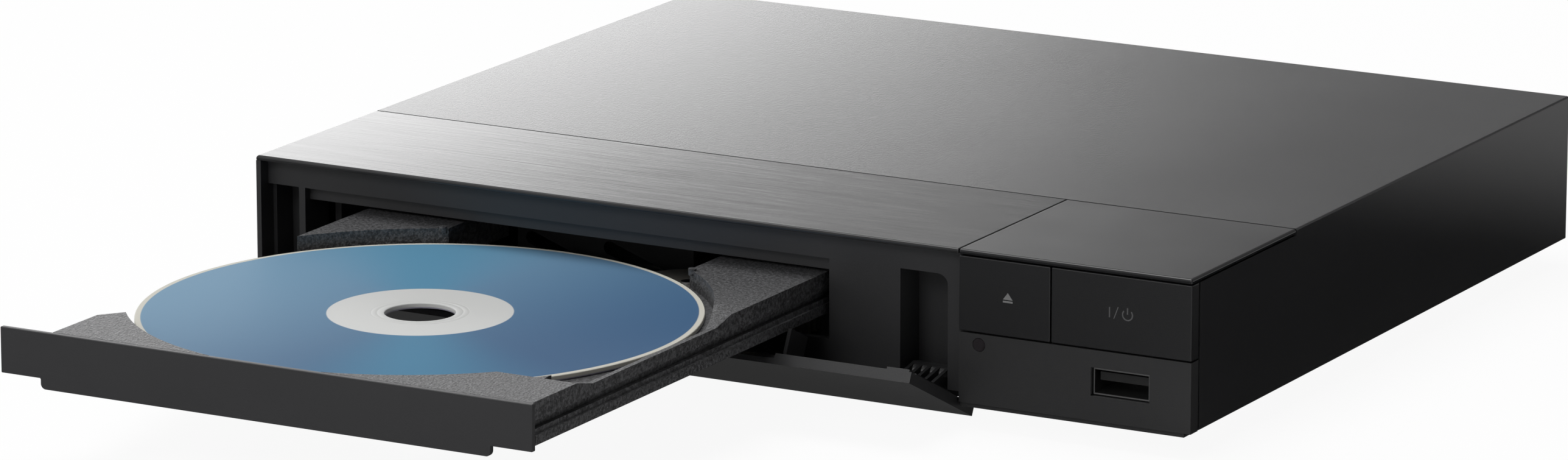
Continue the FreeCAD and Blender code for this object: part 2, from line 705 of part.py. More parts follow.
def rear_panel():
    """Steel rear wall with a foot flange, socket cut-outs and vent slots."""
    x = CHASSIS_X
    wall = box(-x, x, REAR_Y, REAR_Y + SHEET, Z0, Z1 - SHEET)
    foot = box(2 - x, x - 2, REAR_Y - FLANGE_D, REAR_Y, FLOOR_TOP, FLOOR_TOP + SHEET)
    cuts = [rod_y(AUDIO_R + SOCKET_GAP, AUDIO_X, REAR_Y, CASE_D, AUDIO_Z)]
    sockets = (
        (VIDEO_X, VIDEO_W, VIDEO_H),
        (NETWORK_X, NETWORK_W, NETWORK_H),
        (INLET_X, INLET_W, INLET_H),
    )
    for sx, width, height in sockets:
        half = width / 2 + SOCKET_GAP
        z0, z1 = BOARD_TOP - SOCKET_GAP, BOARD_TOP + height + SOCKET_GAP
        cuts.append(box(sx - half, sx + half, REAR_Y, CASE_D, z0, z1))
    for i in range(REAR_VENTS):
        vx = X0 + REAR_VENT_IN + REAR_VENT_PITCH * i
        vz = Z0 + REAR_VENT_UP
        cuts.append(box(vx, vx + VENT_W, REAR_Y, CASE_D, vz, vz + REAR_VENT_H))
    cuts += [rod_y(SCREW_R0 + HOLE_GAP, sx, REAR_Y, CASE_D, REAR_SCREW_Z) for sx in REAR_SCREW_XS]
    return join(wall, foot).cut(cuts)


def rubber_feet():
    feet = []
    for x in (X0 + FOOT_INSET_X, X1 - FOOT_INSET_X):
        for y in (FOOT_FRONT_Y, CASE_D - FOOT_REAR_IN):
            foot = post(FOOT_R, x, y, 0, FOOT_H)
            feet.append(soften(foot, FOOT_BEVEL, lambda b: b.ZMax < 0.01))
    return group(feet)


# Front mouldings

def top_trim():
    """Thin brushed strip over the flap."""
    strip = box(X0, SPLIT_X - SEAM / 2, 0, TOP_D, TOP_Z, Z1)
    return soften(strip, EDGE, lambda b: b.ZMin > Z1 - 0.01 and (b.YMax < 0.01 or b.XMax < X0 + 0.01))


def control_cap():
    """Glossy cap over the button block."""
    cap = box(SPLIT_X + SEAM / 2, X1, 0, TOP_D, TOP_Z, Z1)
    return soften(cap, EDGE, lambda b: b.ZMin > Z1 - 0.01 and (b.YMax < 0.01 or b.XMin > X1 - 0.01))


def port_room(gap, y0, y1):
    """Block round the front socket, larger than its shell by a gap."""
    half_w, half_h = PORT_W / 2 + gap, PORT_H / 2 + gap
    return box(PORT_X - half_w, PORT_X + half_w, y0, y1, PORT_Z - half_h, PORT_Z + half_h)


def front_frame():
    """Recessed frame: face, left cheek, shelf, sill lip, arm pockets and visor."""
    inner, right = FRAME_X0, FRAME_X1
    face = box(X0 + CHEEK, right, RECESS, FACE_Y, Z0, SHELF_Z)
    cheek = box(X0, X0 + CHEEK, 0, WRAP, Z0, TOP_Z)
    cheek_in = box(inner, inner + CHEEK, RECESS, POCKET_BACK, Z0, SHELF_Z)
    shelf = box(inner, right, RECESS, TOP_D - SHELF_IN, SHELF_Z, TOP_Z)
    sill = box(inner, right, RECESS, POCKET_Y, Z0, Z0 + SHELL)
    walls = [
        box(inner, OPEN_X0, RECESS, POCKET_BACK, Z0, SHELF_Z),
        box(SLOT_X0 - PILLAR, SLOT_X1 + PILLAR, RECESS, POCKET_BACK, Z0, SHELF_Z),
        box(OPEN_X1, OPEN_X1 + PILLAR, RECESS, VISOR_Y, Z0, SHELF_Z),
    ]
    visor = box(OPEN_X0, OPEN_X1, FACE_Y, VISOR_Y, VISOR_Z, SHELF_Z)
    body = join(face, cheek, cheek_in, shelf, sill, visor, *walls)
    opening = box(OPEN_X0, OPEN_X1, 0, FACE_Y, OPEN_Z0, OPEN_Z1)
    left_slot = box(inner + CHEEK, OPEN_X0 - PILLAR, 0, POCKET_Y, 0, OPEN_Z1)
    left_mouth = box(X0 + CHEEK, OPEN_X0 - PILLAR, 0, FACE_Y, 0, OPEN_Z1)
    right_slot = box(SLOT_X0, SLOT_X1, 0, POCKET_Y, 0, OPEN_Z1)
    corner = [
        e for e in right_slot.Edges
        if e.BoundBox.ZMin > OPEN_Z1 - 0.01 and e.BoundBox.XMin > SLOT_X1 - 0.01
    ]
    right_slot = right_slot.makeFillet(SLOT_R, corner)
    cuts = [opening, left_slot, left_mouth, right_slot, port_room(PORT_GAP, 0, FACE_Y)]
    cuts += [rod_x(PIN_R + PIN_GAP, span, PIVOT_Y, PIVOT_Z) for span in PINS]
    cuts += [rod_y(PLUNGER_R + PLUNGER_GAP, x, 0, FACE_Y, BUTTON_MID_Z) for x in (EJECT_X, POWER_X)]
    cuts.append(rod_y(WINDOW_R + 0.4, LENS_X, 0, FACE_Y, LENS_Z))
    # the bottom front edge is cut back so that the flap's back swings past it
    swing = [(RECESS - 0.1, Z0 - 0.1), (RECESS - 0.1, Z0 + SWING), (RECESS - 0.1 + SWING, Z0 - 0.1)]
    cuts.append(profile_x(swing, X0 + CHEEK, SPLIT_X))
    return body.cut(cuts)


def button(x0, x1, plunger_x, wraps):
    """Wide key with a plunger that meets its switch through the frame."""
    z0, z1 = BUTTON_Z + SEAM / 2, TOP_Z - SEAM
    tip = FRONT_BOARD_Y - SWITCH_T - KEY_H - PRESS - KEY_GAP
    parts = [box(x0, x1, 0, PLATE_T, z0, z1), rod_y(PLUNGER_R, plunger_x, PLATE_T, tip, BUTTON_MID_Z)]
    if wraps:
        parts.append(box(x1 - SHELL, x1, PLATE_T, WRAP, z0, z1))
    return join(*parts)


def eject_button():
    return button(SPLIT_X + SEAM / 2, BUTTON_SPLIT_X - SEAM / 2, EJECT_X, False)


def power_button():
    return button(BUTTON_SPLIT_X + SEAM / 2, X1, POWER_X, True)


def lower_panel():
    """Panel below the buttons with the front socket's opening and a base lip."""
    x0, z0, z1 = SPLIT_X + SEAM / 2, Z0 + LOWER_LIFT, BUTTON_Z - SEAM / 2
    wall = box(x0, X1, 0, PLATE_T, z0, z1)
    wrap = box(X1 - SHELL, X1, PLATE_T, WRAP, z0, z1)
    rim = box(x0, x0 + SHELL, PLATE_T, RECESS, z0, z1)
    bosses = [rod_y(BOSS_R, x, PLATE_T, RECESS, Z0 + 4) for x in (x0 + 12, X1 - 6)]
    lip = box(x0, FRAME_X1, LIP_IN, RECESS - 0.05, Z0 - LIP_DOWN, Z0 + LIP_UP)
    lip_foot = box(x0, FRAME_X1, LIP_IN, POCKET_Y, Z0 - LIP_DOWN, Z0)
    eye = rod_y(WINDOW_R + 0.1, LENS_X, 0, PLATE_T, LENS_Z)
    return join(wall, wrap, rim, lip, lip_foot, *bosses).cut([port_room(PORT_GAP, 0, PLATE_T), eye])


def remote_window():
    """Round window with a flange behind the panel."""
    pane = rod_y(WINDOW_R, LENS_X, 0.05, PLATE_T, LENS_Z)
    return join(pane, rod_y(WINDOW_R + 0.8, LENS_X, PLATE_T, RECESS - 0.05, LENS_Z))


def arm_rib(x):
    """One triangular rib that ties the flap's plate to its hinge hub."""
    outline = [
        (FLAP_T, FLAP_BOTTOM + 0.4),
        (FLAP_T, FLAP_BOTTOM + ARM_UP),
        (PIVOT_Y + 1.6, PIVOT_Z + 2.0),
        (PIVOT_Y + 2.2, PIVOT_Z - 1.2),
        (PIVOT_Y, PIVOT_Z - ARM_HUB_R),
    ]
    return profile_x(outline, x, x + ARM_RIB)


def flap_door():
    """Drop-down door: plate, two ribbed arms with hubs, a fin and a stiff back."""
    x0, x1 = X0 + CHEEK + SEAM, SPLIT_X - SEAM / 2
    back = FLAP_T + STIFF
    plate = box(x0, x1, 0, FLAP_T, FLAP_BOTTOM, FLAP_TOP)
    left0, left1 = SPRING_X + SPRING_W + SPRING_GAP, OPEN_X0 - PILLAR - ARM_GAP
    right0, right1 = SLOT_X0 + ARM_GAP, SLOT_X1 - ARM_GAP
    arms = [arm_rib(x) for x in (left0, left1 - ARM_RIB)]
    step = (right1 - right0 - ARM_RIB) / (ARM_RIBS - 1)
    arms += [arm_rib(right0 + step * i) for i in range(ARM_RIBS)]
    hubs = [rod_x(ARM_HUB_R, span, PIVOT_Y, PIVOT_Z) for span in ((left0, left1), (right0, right1))]
    z0, z1 = OPEN_Z0 + SHELL, OPEN_Z1 + 0.8
    left, right = OPEN_X0 + STIFF_IN, OPEN_X1 - STIFF_IN
    rails = [
        box(SLOT_X1 + 2, x1 - 1, FLAP_T, back, z0, z1),
        box(left, right, FLAP_T, back, z0, z0 + STIFF),
        box(left, right, FLAP_T, back, z1 - STIFF, z1),
    ]
    lug = box(SLOT_X1 - 2, x1 - 0.6, FLAP_T, back, FLAP_TOP - LUG_H, FLAP_TOP)
    fin = box(FIN_X, FIN_X + ARM_RIB, FLAP_T, FLAP_T + FIN_D, OPEN_Z1 - FIN_H - FIN_GAP, OPEN_Z1 - FIN_GAP)
    door = join(plate, *arms, *hubs, *rails, lug, fin)
    bevel = [
        (FLAP_T, FLAP_TOP - BEVEL_H),
        (FLAP_T - BEVEL, FLAP_TOP),
        (back + STIFF, FLAP_TOP + STIFF),
        (back + STIFF, FLAP_TOP - BEVEL_H),
    ]
    cuts = [profile_x(bevel, x0, OPEN_X1)]
    cuts += [rod_x(PIN_R, (a - 5, b + 5), PIVOT_Y, PIVOT_Z) for a, b in PINS]
    return opened(door.cut(cuts))


def flap_pins():
    """Two steel pins pressed through the arms into the pockets' walls."""
    return group(opened(rod_x(PIN_R, span, PIVOT_Y, PIVOT_Z)) for span in PINS)


def flap_spring():
    """Torsion spring round the left pin: a coil and two legs."""
    r = PIN_R + SPRING_GAP + SPRING_WIRE / 2 + 0.05
    pitch = (SPRING_W - SPRING_WIRE - 0.1) / SPRING_TURNS
    end = pitch * SPRING_TURNS
    helix = Part.makeHelix(pitch, end, r)
    circle = Part.Wire(Part.makeCircle(SPRING_WIRE / 2, Vector(r, 0, 0), Vector(0, 1, 0)))
    coil = Part.Wire(helix.Edges).makePipeShell([circle], True, True)
    rear_leg = rod_y(SPRING_WIRE / 2, r, -SPRING_LEGS[0], 0, 0)
    front_leg = rod_y(SPRING_WIRE / 2, r, 0, SPRING_LEGS[1], end)
    spring = join(coil, rear_leg, front_leg)
    spring.rotate(Vector(0, 0, 0), Vector(0, 1, 0), 90)
    spring.rotate(Vector(0, 0, 0), Vector(1, 0, 0), SPRING_TURN)
    spring.translate(Vector(SPRING_X + SPRING_WIRE / 2 + 0.05, PIVOT_Y, PIVOT_Z))
    return spring


# Tray and disc

def tray():
    """Moulded tray: deck, disc well, floor, side rails, finger ramp and rack."""
    front, rear = TRAY_FRONT, TRAY_REAR
    deck = box(TRAY_X0, TRAY_X1, front, rear, DECK_Z - DECK_T, DECK_Z)
    floor = box(TRAY_X0, TRAY_X1, front + 1, DISC_Y + WELL_R, FLOOR_UNDER, FLOOR_Z)
    front_wall = box(TRAY_X0, TRAY_X1, front, front + RAIL_T, BEZEL_END_Z + CLIP_T + SEAM, DECK_Z)
    left = box(TRAY_X0, TRAY_X0 + RAIL_T, front, rear, RAIL_Z, DECK_Z)
    right = box(TRAY_X1 - RAIL_T, TRAY_X1, front, rear, RAIL_Z, DECK_Z)
    flange = box(TRAY_X1 - RAIL_T, TRAY_X1 + FLANGE, front, rear, RAIL_Z, FLANGE_Z)
    inner_rails = [
        box(a, b, WINDOW_FRONT, rear, FLOOR_UNDER, DECK_Z)
        for a, b in ((WINDOW_X0 - RAIL_T, WINDOW_X0), (WINDOW_X1, WINDOW_X1 + RAIL_T))
    ]
    body = join(deck, floor, front_wall, left, right, flange, *inner_rails)
    well = post(WELL_R, DISC_X, DISC_Y, FLOOR_Z, Z1)
    wall = tube(WELL_R + WELL_WALL, WELL_R, DISC_X, DISC_Y, FLOOR_UNDER, DECK_Z)
    plan = box(TRAY_X0, TRAY_X1, front, rear, 0, DECK_Z)
    rest = tube(WELL_R, DISC_R - REST_IN, DISC_X, DISC_Y, FLOOR_Z, DISC_Z - REST_GAP)
    body = join(body, wall.common(plan)).cut(well)
    body = join(body, rest.common(plan))
    # open window from the spindle to the rear
    window = box(WINDOW_X0, WINDOW_X1, WINDOW_FRONT, rear, 0, Z1)
    fill, ramp = finger_ramp()
    body = body.cut([window, side_cut(), side_dip(), ramp])
    body = join(body, fill, rack())
    grooves = [
        box(TRAY_X0, TRAY_X0 + GROOVE_D, front + 4, rear, GROOVE_Z0, GROOVE_Z1),
        box(TRAY_X1 - GROOVE_D, TRAY_X1 + FLANGE, front + 0.5, rear, GROOVE_Z0, GROOVE_Z1),
    ]
    return join(body.cut(grooves), tray_hook(WINDOW_X1, 1), tray_hook(WINDOW_X0, -1))


def side_cut():
    """The disc overhangs the left side, where the tray is cut back above its rail."""
    a, b, c, d = (DISC_Y + dy for dy in CUT_YS)
    out, line, cut = TRAY_X0 - 1, TRAY_X0, TRAY_X0 + CUT_IN
    outline = [(out, a), (line, a), (cut, b), (cut, c), (line, d), (out, d)]
    return prism([(x, y, FLOOR_Z) for x, y in outline], (0, 0, Z1 - FLOOR_Z))


def side_dip():
    """On the right, the wall dips beside the disc."""
    a, b = (DISC_Y + dy for dy in DIP_YS)
    c = DISC_Y + DIP_END
    d = c + DIP_SLOPE
    outline = [(a, Z1), (a, DECK_Z), (b, DIP_Z), (c, DIP_Z), (d, DECK_Z), (d, Z1)]
    return profile_x(outline, WINDOW_X1 + RAIL_T, TRAY_X1 + SHELL)


def finger_ramp():
    """Ramp that leads a finger under the disc: what fills it and what is cut."""
    x0, x1 = WINDOW_X1 + RAMP_LEFT, TRAY_X1 - RAMP_WALL
    a, b = (DISC_Y + dy for dy in DIP_YS)
    c, d = DISC_Y + DIP_END - RAMP_IN, DISC_Y + RAMP_END
    low = DISC_Z - REST_GAP
    cut = [(a, Z1), (a, DECK_Z), (b, low), (c, low), (d, DECK_Z), (d, Z1)]
    under = [(c, FLOOR_UNDER), (a, FLOOR_UNDER)]
    fill = profile_x([(a, low), (c, low), (d, DECK_Z), (d, DECK_Z - DECK_T)] + under, x0, x1)
    return fill.cut(post(WELL_R, DISC_X, DISC_Y, 0, Z1)), profile_x(cut, x0, x1)


def tray_hook(window_x, side):
    """Small hook where the well meets the window."""
    reach = math.sqrt(WELL_R ** 2 - (window_x - DISC_X) ** 2)
    x, y = window_x + side * (HOOK_R + 0.1), DISC_Y + reach - 0.6
    return post(HOOK_R, x, y, DECK_Z - 1, DECK_Z + HOOK_H)


def rack():
    """Rack under the tray's right arm; a tooth stands level with the gear's centre."""
    pitch = math.pi * MODULE
    front, rear = TRAY_FRONT + 1, TRAY_REAR
    tip = RACK_PITCH_X - TIP * MODULE
    slope = math.tan(math.radians(20)) * MODULE
    half = pitch / 4 - BACKLASH
    wide, thin = half + ROOT * slope, half - TIP * slope
    first = math.ceil((front + 2.5 - DRIVE_Y) / pitch)
    last = math.floor((rear - 1.5 - DRIVE_Y) / pitch)
    points = [(RACK_BACK_X, front), (RACK_ROOT_X, front)]
    for i in range(first, last + 1):
        y = DRIVE_Y + i * pitch
        points += [(RACK_ROOT_X, y - wide), (tip, y - thin), (tip, y + thin), (RACK_ROOT_X, y + wide)]
    points += [(RACK_ROOT_X, rear), (RACK_BACK_X, rear)]
    strip = prism([(x, y, RACK_Z) for x, y in points], (0, 0, FLOOR_UNDER - RACK_Z))
    web = box(RACK_ROOT_X, RACK_BACK_X, front, rear, FLOOR_UNDER, DECK_Z - DECK_T)
    web = web.cut(post(WELL_R + 0.5, DISC_X, DISC_Y, 0, DECK_Z))
    return join(strip, web)


def tray_bezel():
    """Front plate of the tray with a deeper middle, clipped on the tray's front."""
    y0, y1 = TRAY_FRONT - BEZEL_T, TRAY_FRONT
    plate = box(BEZEL_X0, BEZEL_X1, y0, y1, BEZEL_END_Z, DECK_Z)
    middle = box(BEZEL_X0 + BEZEL_END, BEZEL_X1 - BEZEL_END, y0, y1, BEZEL_MID_Z, DECK_Z)
    corners = [
        e for e in middle.Edges
        if e.BoundBox.ZMax < BEZEL_MID_Z + 0.01 and e.BoundBox.YLength > BEZEL_T / 2
    ]
    middle = middle.makeFillet(BEZEL_R, corners)
    z0 = BEZEL_END_Z + SEAM
    clips = [
        box(x, x + CLIP_W, y1, y1 + CLIP_T, z0, z0 + CLIP_T)
        for x in (TRAY_X0 + CLIP_IN, TRAY_X1 - CLIP_IN - CLIP_W)
    ]
    return join(plate, middle, *clips)


def disc():
    """Standard 120 mm disc."""
    return tube(DISC_R, HOLE_R, DISC_X, DISC_Y, DISC_Z, DISC_Z + DISC_T)


# Loader

def loader_chassis():
    """Moulded base with guide walls, tray ledges, guide tabs and pivot uprights."""
    left, right, wall = GUIDE_X0, GUIDE_X1, LOADER_WALL
    x0, y0, y1 = LOADER_X0, LOADER_Y0, LOADER_Y1
    ledge_z, wall_z = RAIL_Z - LEDGE_GAP, BRIDGE_Z - WALL_DOWN
    in0, in1 = TRAY_X0 + RAIL_T + LEDGE_IN, TRAY_X1 - RAIL_T - LEDGE_IN
    parts = [
        box(x0, LOADER_X1, y0, y1, BASE_Z0, BASE_Z1),
        box(x0, x0 + wall, y0, y1, BASE_Z0, wall_z),
        box(left - LEFT_WALL_T, left, y0, y1, BASE_Z0, LEFT_WALL_Z),
        box(right, right + wall, y0, y1, BASE_Z0, wall_z),
        box(left, right, y1 - wall, y1, BASE_Z0, RAIL_Z - 4),
        # uprights under the clamp bridge
        box(x0, x0 + wall, BRIDGE_Y0, BRIDGE_Y1, BASE_Z0, BRIDGE_Z),
        box(right, right + wall, BRIDGE_Y0, BRIDGE_Y1, BASE_Z0, BRIDGE_Z),
        # ledges under the tray's rails
        box(left, in0, y0, y1, ledge_z - wall, ledge_z),
        box(in1, right, y0, y1, ledge_z - wall, ledge_z),
    ]
    z0, z1 = GROOVE_Z0 + TAB_GAP, GROOVE_Z1 - TAB_GAP
    for dy in TAB_YS:
        y = y0 + dy
        parts.append(box(left, TRAY_X0 + GROOVE_D - TAB_IN, y, y + TAB_L, z0, z1))
        parts.append(box(TRAY_X1 - GROOVE_D + TAB_IN, right, y, y + TAB_L, z0, z1))
    well = box(TRAVERSE_X0 - 4, TRAVERSE_X1 + 4, CAM_Y0 + CAM_T + 0.6, y1 - 4, 0, BASE_Z1)
    motor = post(MOTOR_R + 0.2, MOTOR_X, MOTOR_Y, 0, BASE_Z1)
    body = join(*parts).cut([well, motor])
    uprights = [
        box(a, b, HINGE_Y - 5, HINGE_Y + 5, BASE_Z0, HINGE_Z + 4.5)
        for a, b in (
            (TRAVERSE_X0 - PIVOT_GAP - PIVOT_WALL, TRAVERSE_X0 - PIVOT_GAP),
            (TRAVERSE_X1 + PIVOT_GAP, TRAVERSE_X1 + PIVOT_GAP + PIVOT_WALL),
        )
    ]
    rail_y = CAM_Y0 - 0.3
    cam_rail = box(CAM_X0 - 6, CAM_X1 + CAM_TRAVEL + 6, rail_y - CAM_RAIL_T, rail_y, BASE_Z0, BASE_Z1 + 1.6)
    cuts = [rod_x(BUSH_R, (TRAVERSE_X0 - 6, TRAVERSE_X1 + 6), HINGE_Y, HINGE_Z)]
    cuts += [post(SCREW_R0 + HOLE_GAP, x, y, 0, BASE_Z1) for x, y in LOADER_POSTS]
    # slot for the flat cable
    cuts.append(box(right - 1, right + wall + 1, RIBBON_Y - 0.5, RIBBON_Y + LOADER_RIBBON_W + 0.5,
                    BASE_Z1, BASE_Z1 + 4 * RIBBON_T))
    return join(body, *uprights, cam_rail).cut(cuts)


def damper_bushings():
    """Rubber bushings that hold the traverse's rear stubs."""
    inner = PIVOT_GAP + 0.2
    spans = (
        (TRAVERSE_X0 - inner - BUSH_W, TRAVERSE_X0 - inner),
        (TRAVERSE_X1 + inner, TRAVERSE_X1 + inner + BUSH_W),
    )
    return group(
        rod_x(BUSH_R - BUSH_FIT, span, HINGE_Y, HINGE_Z).cut(rod_x(STUB_R + STUB_FIT, span, HINGE_Y, HINGE_Z))
        for span in spans
    )


def loader_screws():
    return group(screw(x, y, BASE_Z1, FLOOR_TOP + 0.1) for x, y in LOADER_POSTS)


def gear_axles():
    return group([
        post(AXLE_R, DRIVE_X, DRIVE_Y, BASE_Z1, FLOOR_UNDER - GEAR_GAP),
        post(AXLE_R, PULLEY_X, PULLEY_Y, BASE_Z1, PULLEY_Z1 + 0.6),
    ])


def tray_gear():
    """Compound gear: the upper teeth drive the rack, the lower wheel is driven."""
    z1 = FLOOR_UNDER - GEAR_GAP - 0.2
    turn = math.pi / DRIVE_TEETH
    upper = gear(DRIVE_TEETH, MODULE, DRIVE_X, DRIVE_Y, RACK_Z + GEAR_GAP, z1, turn)
    turn = math.radians(PINION_ANGLE)
    wheel = gear(WHEEL_TEETH, FINE_MODULE, DRIVE_X, DRIVE_Y, STAGE_Z0, STAGE_Z1, turn)
    hub = post(GEAR_HUB_R, DRIVE_X, DRIVE_Y, STAGE_Z0, z1)
    return join(upper, wheel, hub).cut(post(AXLE_R + FIT, DRIVE_X, DRIVE_Y, 0, Z1))


def pulley_gear():
    """Belt pulley with the pinion that drives the wheel."""
    x, y = PULLEY_X, PULLEY_Y
    turn = math.radians(PINION_ANGLE) + math.pi + math.pi / PINION_TEETH
    top = STAGE_Z1 + 0.2
    pinion = gear(PINION_TEETH, FINE_MODULE, x, y, STAGE_Z0, top, turn)
    parts = [pinion, post(PULLEY_HUB_R, x, y, top, PULLEY_Z1), post(PULLEY_R, x, y, PULLEY_Z0, PULLEY_Z1)]
    for z0, z1 in ((PULLEY_Z0, BELT_Z0 - BELT_GAP), (BELT_Z1 + BELT_GAP, PULLEY_Z1)):
        parts.append(post(PULLEY_R + PULLEY_FLANGE, x, y, z0, z1))
    return join(*parts).cut(post(AXLE_R + FIT, x, y, 0, Z1))


def motor_pulley():
    x, y, z0 = MOTOR_X, MOTOR_Y, PULLEY_Z0 + 0.2
    parts = [post(MOTOR_PULLEY_R, x, y, z0, PULLEY_Z1)]
    for a, b in ((z0, BELT_Z0 - BELT_GAP), (BELT_Z1 + BELT_GAP, PULLEY_Z1)):
        parts.append(post(MOTOR_PULLEY_R + MOTOR_FLANGE, x, y, a, b))
    return join(*parts).cut(post(SHAFT_R + 0.05, x, y, 0, Z1))


def drive_belt():
    return belt_loop(BELT_GAP + BELT).cut(belt_loop(BELT_GAP))


def loading_motor():
    """Flat motor can set in the base, with its shaft up through the pulley."""
    x, y, top = MOTOR_X, MOTOR_Y, PULLEY_Z0 - 0.7
    can = post(MOTOR_R, x, y, MOTOR_Z0, top)
    can = can.makeFillet(0.8, [e for e in can.Edges if e.BoundBox.ZLength < 0.01])
    half = MOTOR_EAR_W / 2
    ears = box(x - MOTOR_EAR, x + MOTOR_EAR, y - half, y + half, BASE_Z1, BASE_Z1 + SHEET)
    boss = post(3.0, x, y, top - 0.1, top + 0.6)
    return join(can, ears, boss, post(SHAFT_R, x, y, MOTOR_Z0 + 1, PULLEY_Z1 + 0.4))


def cam_slider():
    """Sliding plate whose sloped slots lift the traverse's two front pins."""
    r = CAM_PIN_R + CAM_GAP
    plate = box(CAM_X0, CAM_X1, CAM_Y0, CAM_Y0 + CAM_T, BASE_Z1 + CAM_LIFT, CAM_PIN_Z + r + 1.0)
    low = CAM_PIN_Z - CAM_RISE
    long = math.hypot(CAM_TRAVEL, CAM_RISE)
    ux, uz = -CAM_TRAVEL / long, CAM_RISE / long
    y0, y1 = CAM_Y0 - 1, CAM_Y0 + CAM_T + 1
    slots = []
    for x in CAM_PIN_XS:
        ax, az = x - ux * CAM_END, low - uz * CAM_END
        bx, bz = x - CAM_TRAVEL + ux * CAM_END, low + CAM_RISE + uz * CAM_END
        nx, nz = -uz * r, ux * r
        outline = [(ax + nx, az + nz), (bx + nx, bz + nz), (bx - nx, bz - nz), (ax - nx, az - nz)]
        band = prism([(px, y0, pz) for px, pz in outline], (0, y1 - y0, 0))
        slots.append(join(band, rod_y(r, ax, y0, y1, az), rod_y(r, bx, y0, y1, bz)))
    return plate.cut(slots)


# Traverse, drawn level with the turntable up

def traverse_base():
    """Steel plate with a front wall and its cam pins, rod blocks and rear stubs."""
    x0, x1, y0, y1, z0 = TRAVERSE_X0, TRAVERSE_X1, TRAVERSE_Y0, TRAVERSE_Y1, TRAVERSE_Z0
    t = TRAVERSE_T
    parts = [
        box(x0, x1, y0, y1, z0, TRAVERSE_TOP),
        box(x0, x1 - 4, y0, y0 + t, z0, CAM_PIN_Z + 2),
        box(x0, x0 + t, y0, y1, z0, z0 + 3),
        box(x1 - t, x1, y0, y1, z0, z0 + 3),
        rod_x(STUB_R, (x0 - STUB_L, x0 + 1), HINGE_Y, HINGE_Z),
        rod_x(STUB_R, (x1 - 1, x1 + STUB_L), HINGE_Y, HINGE_Z),
        box(SCREW_X - 1.8, SCREW_X + 1.8, SCREW_Y0 - 2.2, SCREW_Y0 - 0.2, z0, SCREW_Z + 2),
        box(SCREW_X - 5, SCREW_X + 5, FEED_Y0 - 1.2, FEED_Y0, z0, SCREW_Z + 3),
    ]
    parts += [rod_y(CAM_PIN_R, x, CAM_Y0 - 0.2, y0 + 0.5, CAM_PIN_Z) for x in CAM_PIN_XS]
    for x in (DISC_X - ROD_DX, DISC_X + ROD_DX):
        for y in (ROD_Y0, ROD_Y1):
            parts.append(box(x - BLOCK_W / 2, x + BLOCK_W / 2, y - BLOCK_L / 2, y + BLOCK_L / 2,
                             z0, ROD_Z + 2.2))
    holes = [
        rod_y(ROD_R, x, ROD_Y0 - 2, ROD_Y1 + 2, ROD_Z) for x in (DISC_X - ROD_DX, DISC_X + ROD_DX)
    ]
    holes.append(rod_y(SCREW_END_R + FIT, SCREW_X, SCREW_Y0 - 3, FEED_Y0 + 1, SCREW_Z))
    holes.append(box(DISC_X - 15, DISC_X + 12, LENS_Y + 4, LENS_Y + SLED_TRAVEL, z0, TRAVERSE_TOP))
    holes.append(post(6, DISC_X, SPINDLE_Y, z0, TRAVERSE_TOP))
    return lowered(join(*parts).cut(holes))


def guide_rods():
    y0, y1 = ROD_Y0 - 1.6, ROD_Y1 + 1.6
    return group(
        lowered(rod_y(ROD_R, x, y0, y1, ROD_Z)) for x in (DISC_X - ROD_DX, DISC_X + ROD_DX)
    )


def spindle_motor():
    """Stator base plate and post under the turntable."""
    z = TRAVERSE_TOP
    half, y0 = STATOR_W / 2, SPINDLE_Y - STATOR_FRONT
    base = box(DISC_X - half, DISC_X + half, y0, y0 + STATOR_D, z, z + STATOR_T)
    return lowered(join(base, tube(STATOR_R, SPINDLE_R + 0.4, DISC_X, SPINDLE_Y, z, z + STATOR_H)))


def turntable():
    """Rotor bell, disc seat and centring cone on one shaft."""
    x, y, z = DISC_X, SPINDLE_Y, TRAVERSE_TOP
    room = post(ROTOR_R - ROTOR_WALL, x, y, z, z + BELL_ROOM)
    bell = post(ROTOR_R, x, y, z + BELL_UP, SEAT_Z - 1.4).cut(room)
    shaft = post(SPINDLE_R, x, y, z + STATOR_T + 0.2, SEAT_Z)
    seat = post(SEAT_R, x, y, SEAT_Z - SEAT_T, SEAT_Z)
    cone = Part.makeCone(CONE_R, CONE_R - 2.0, CONE_H, Vector(x, y, SEAT_Z))
    return lowered(join(bell, shaft, seat, cone))


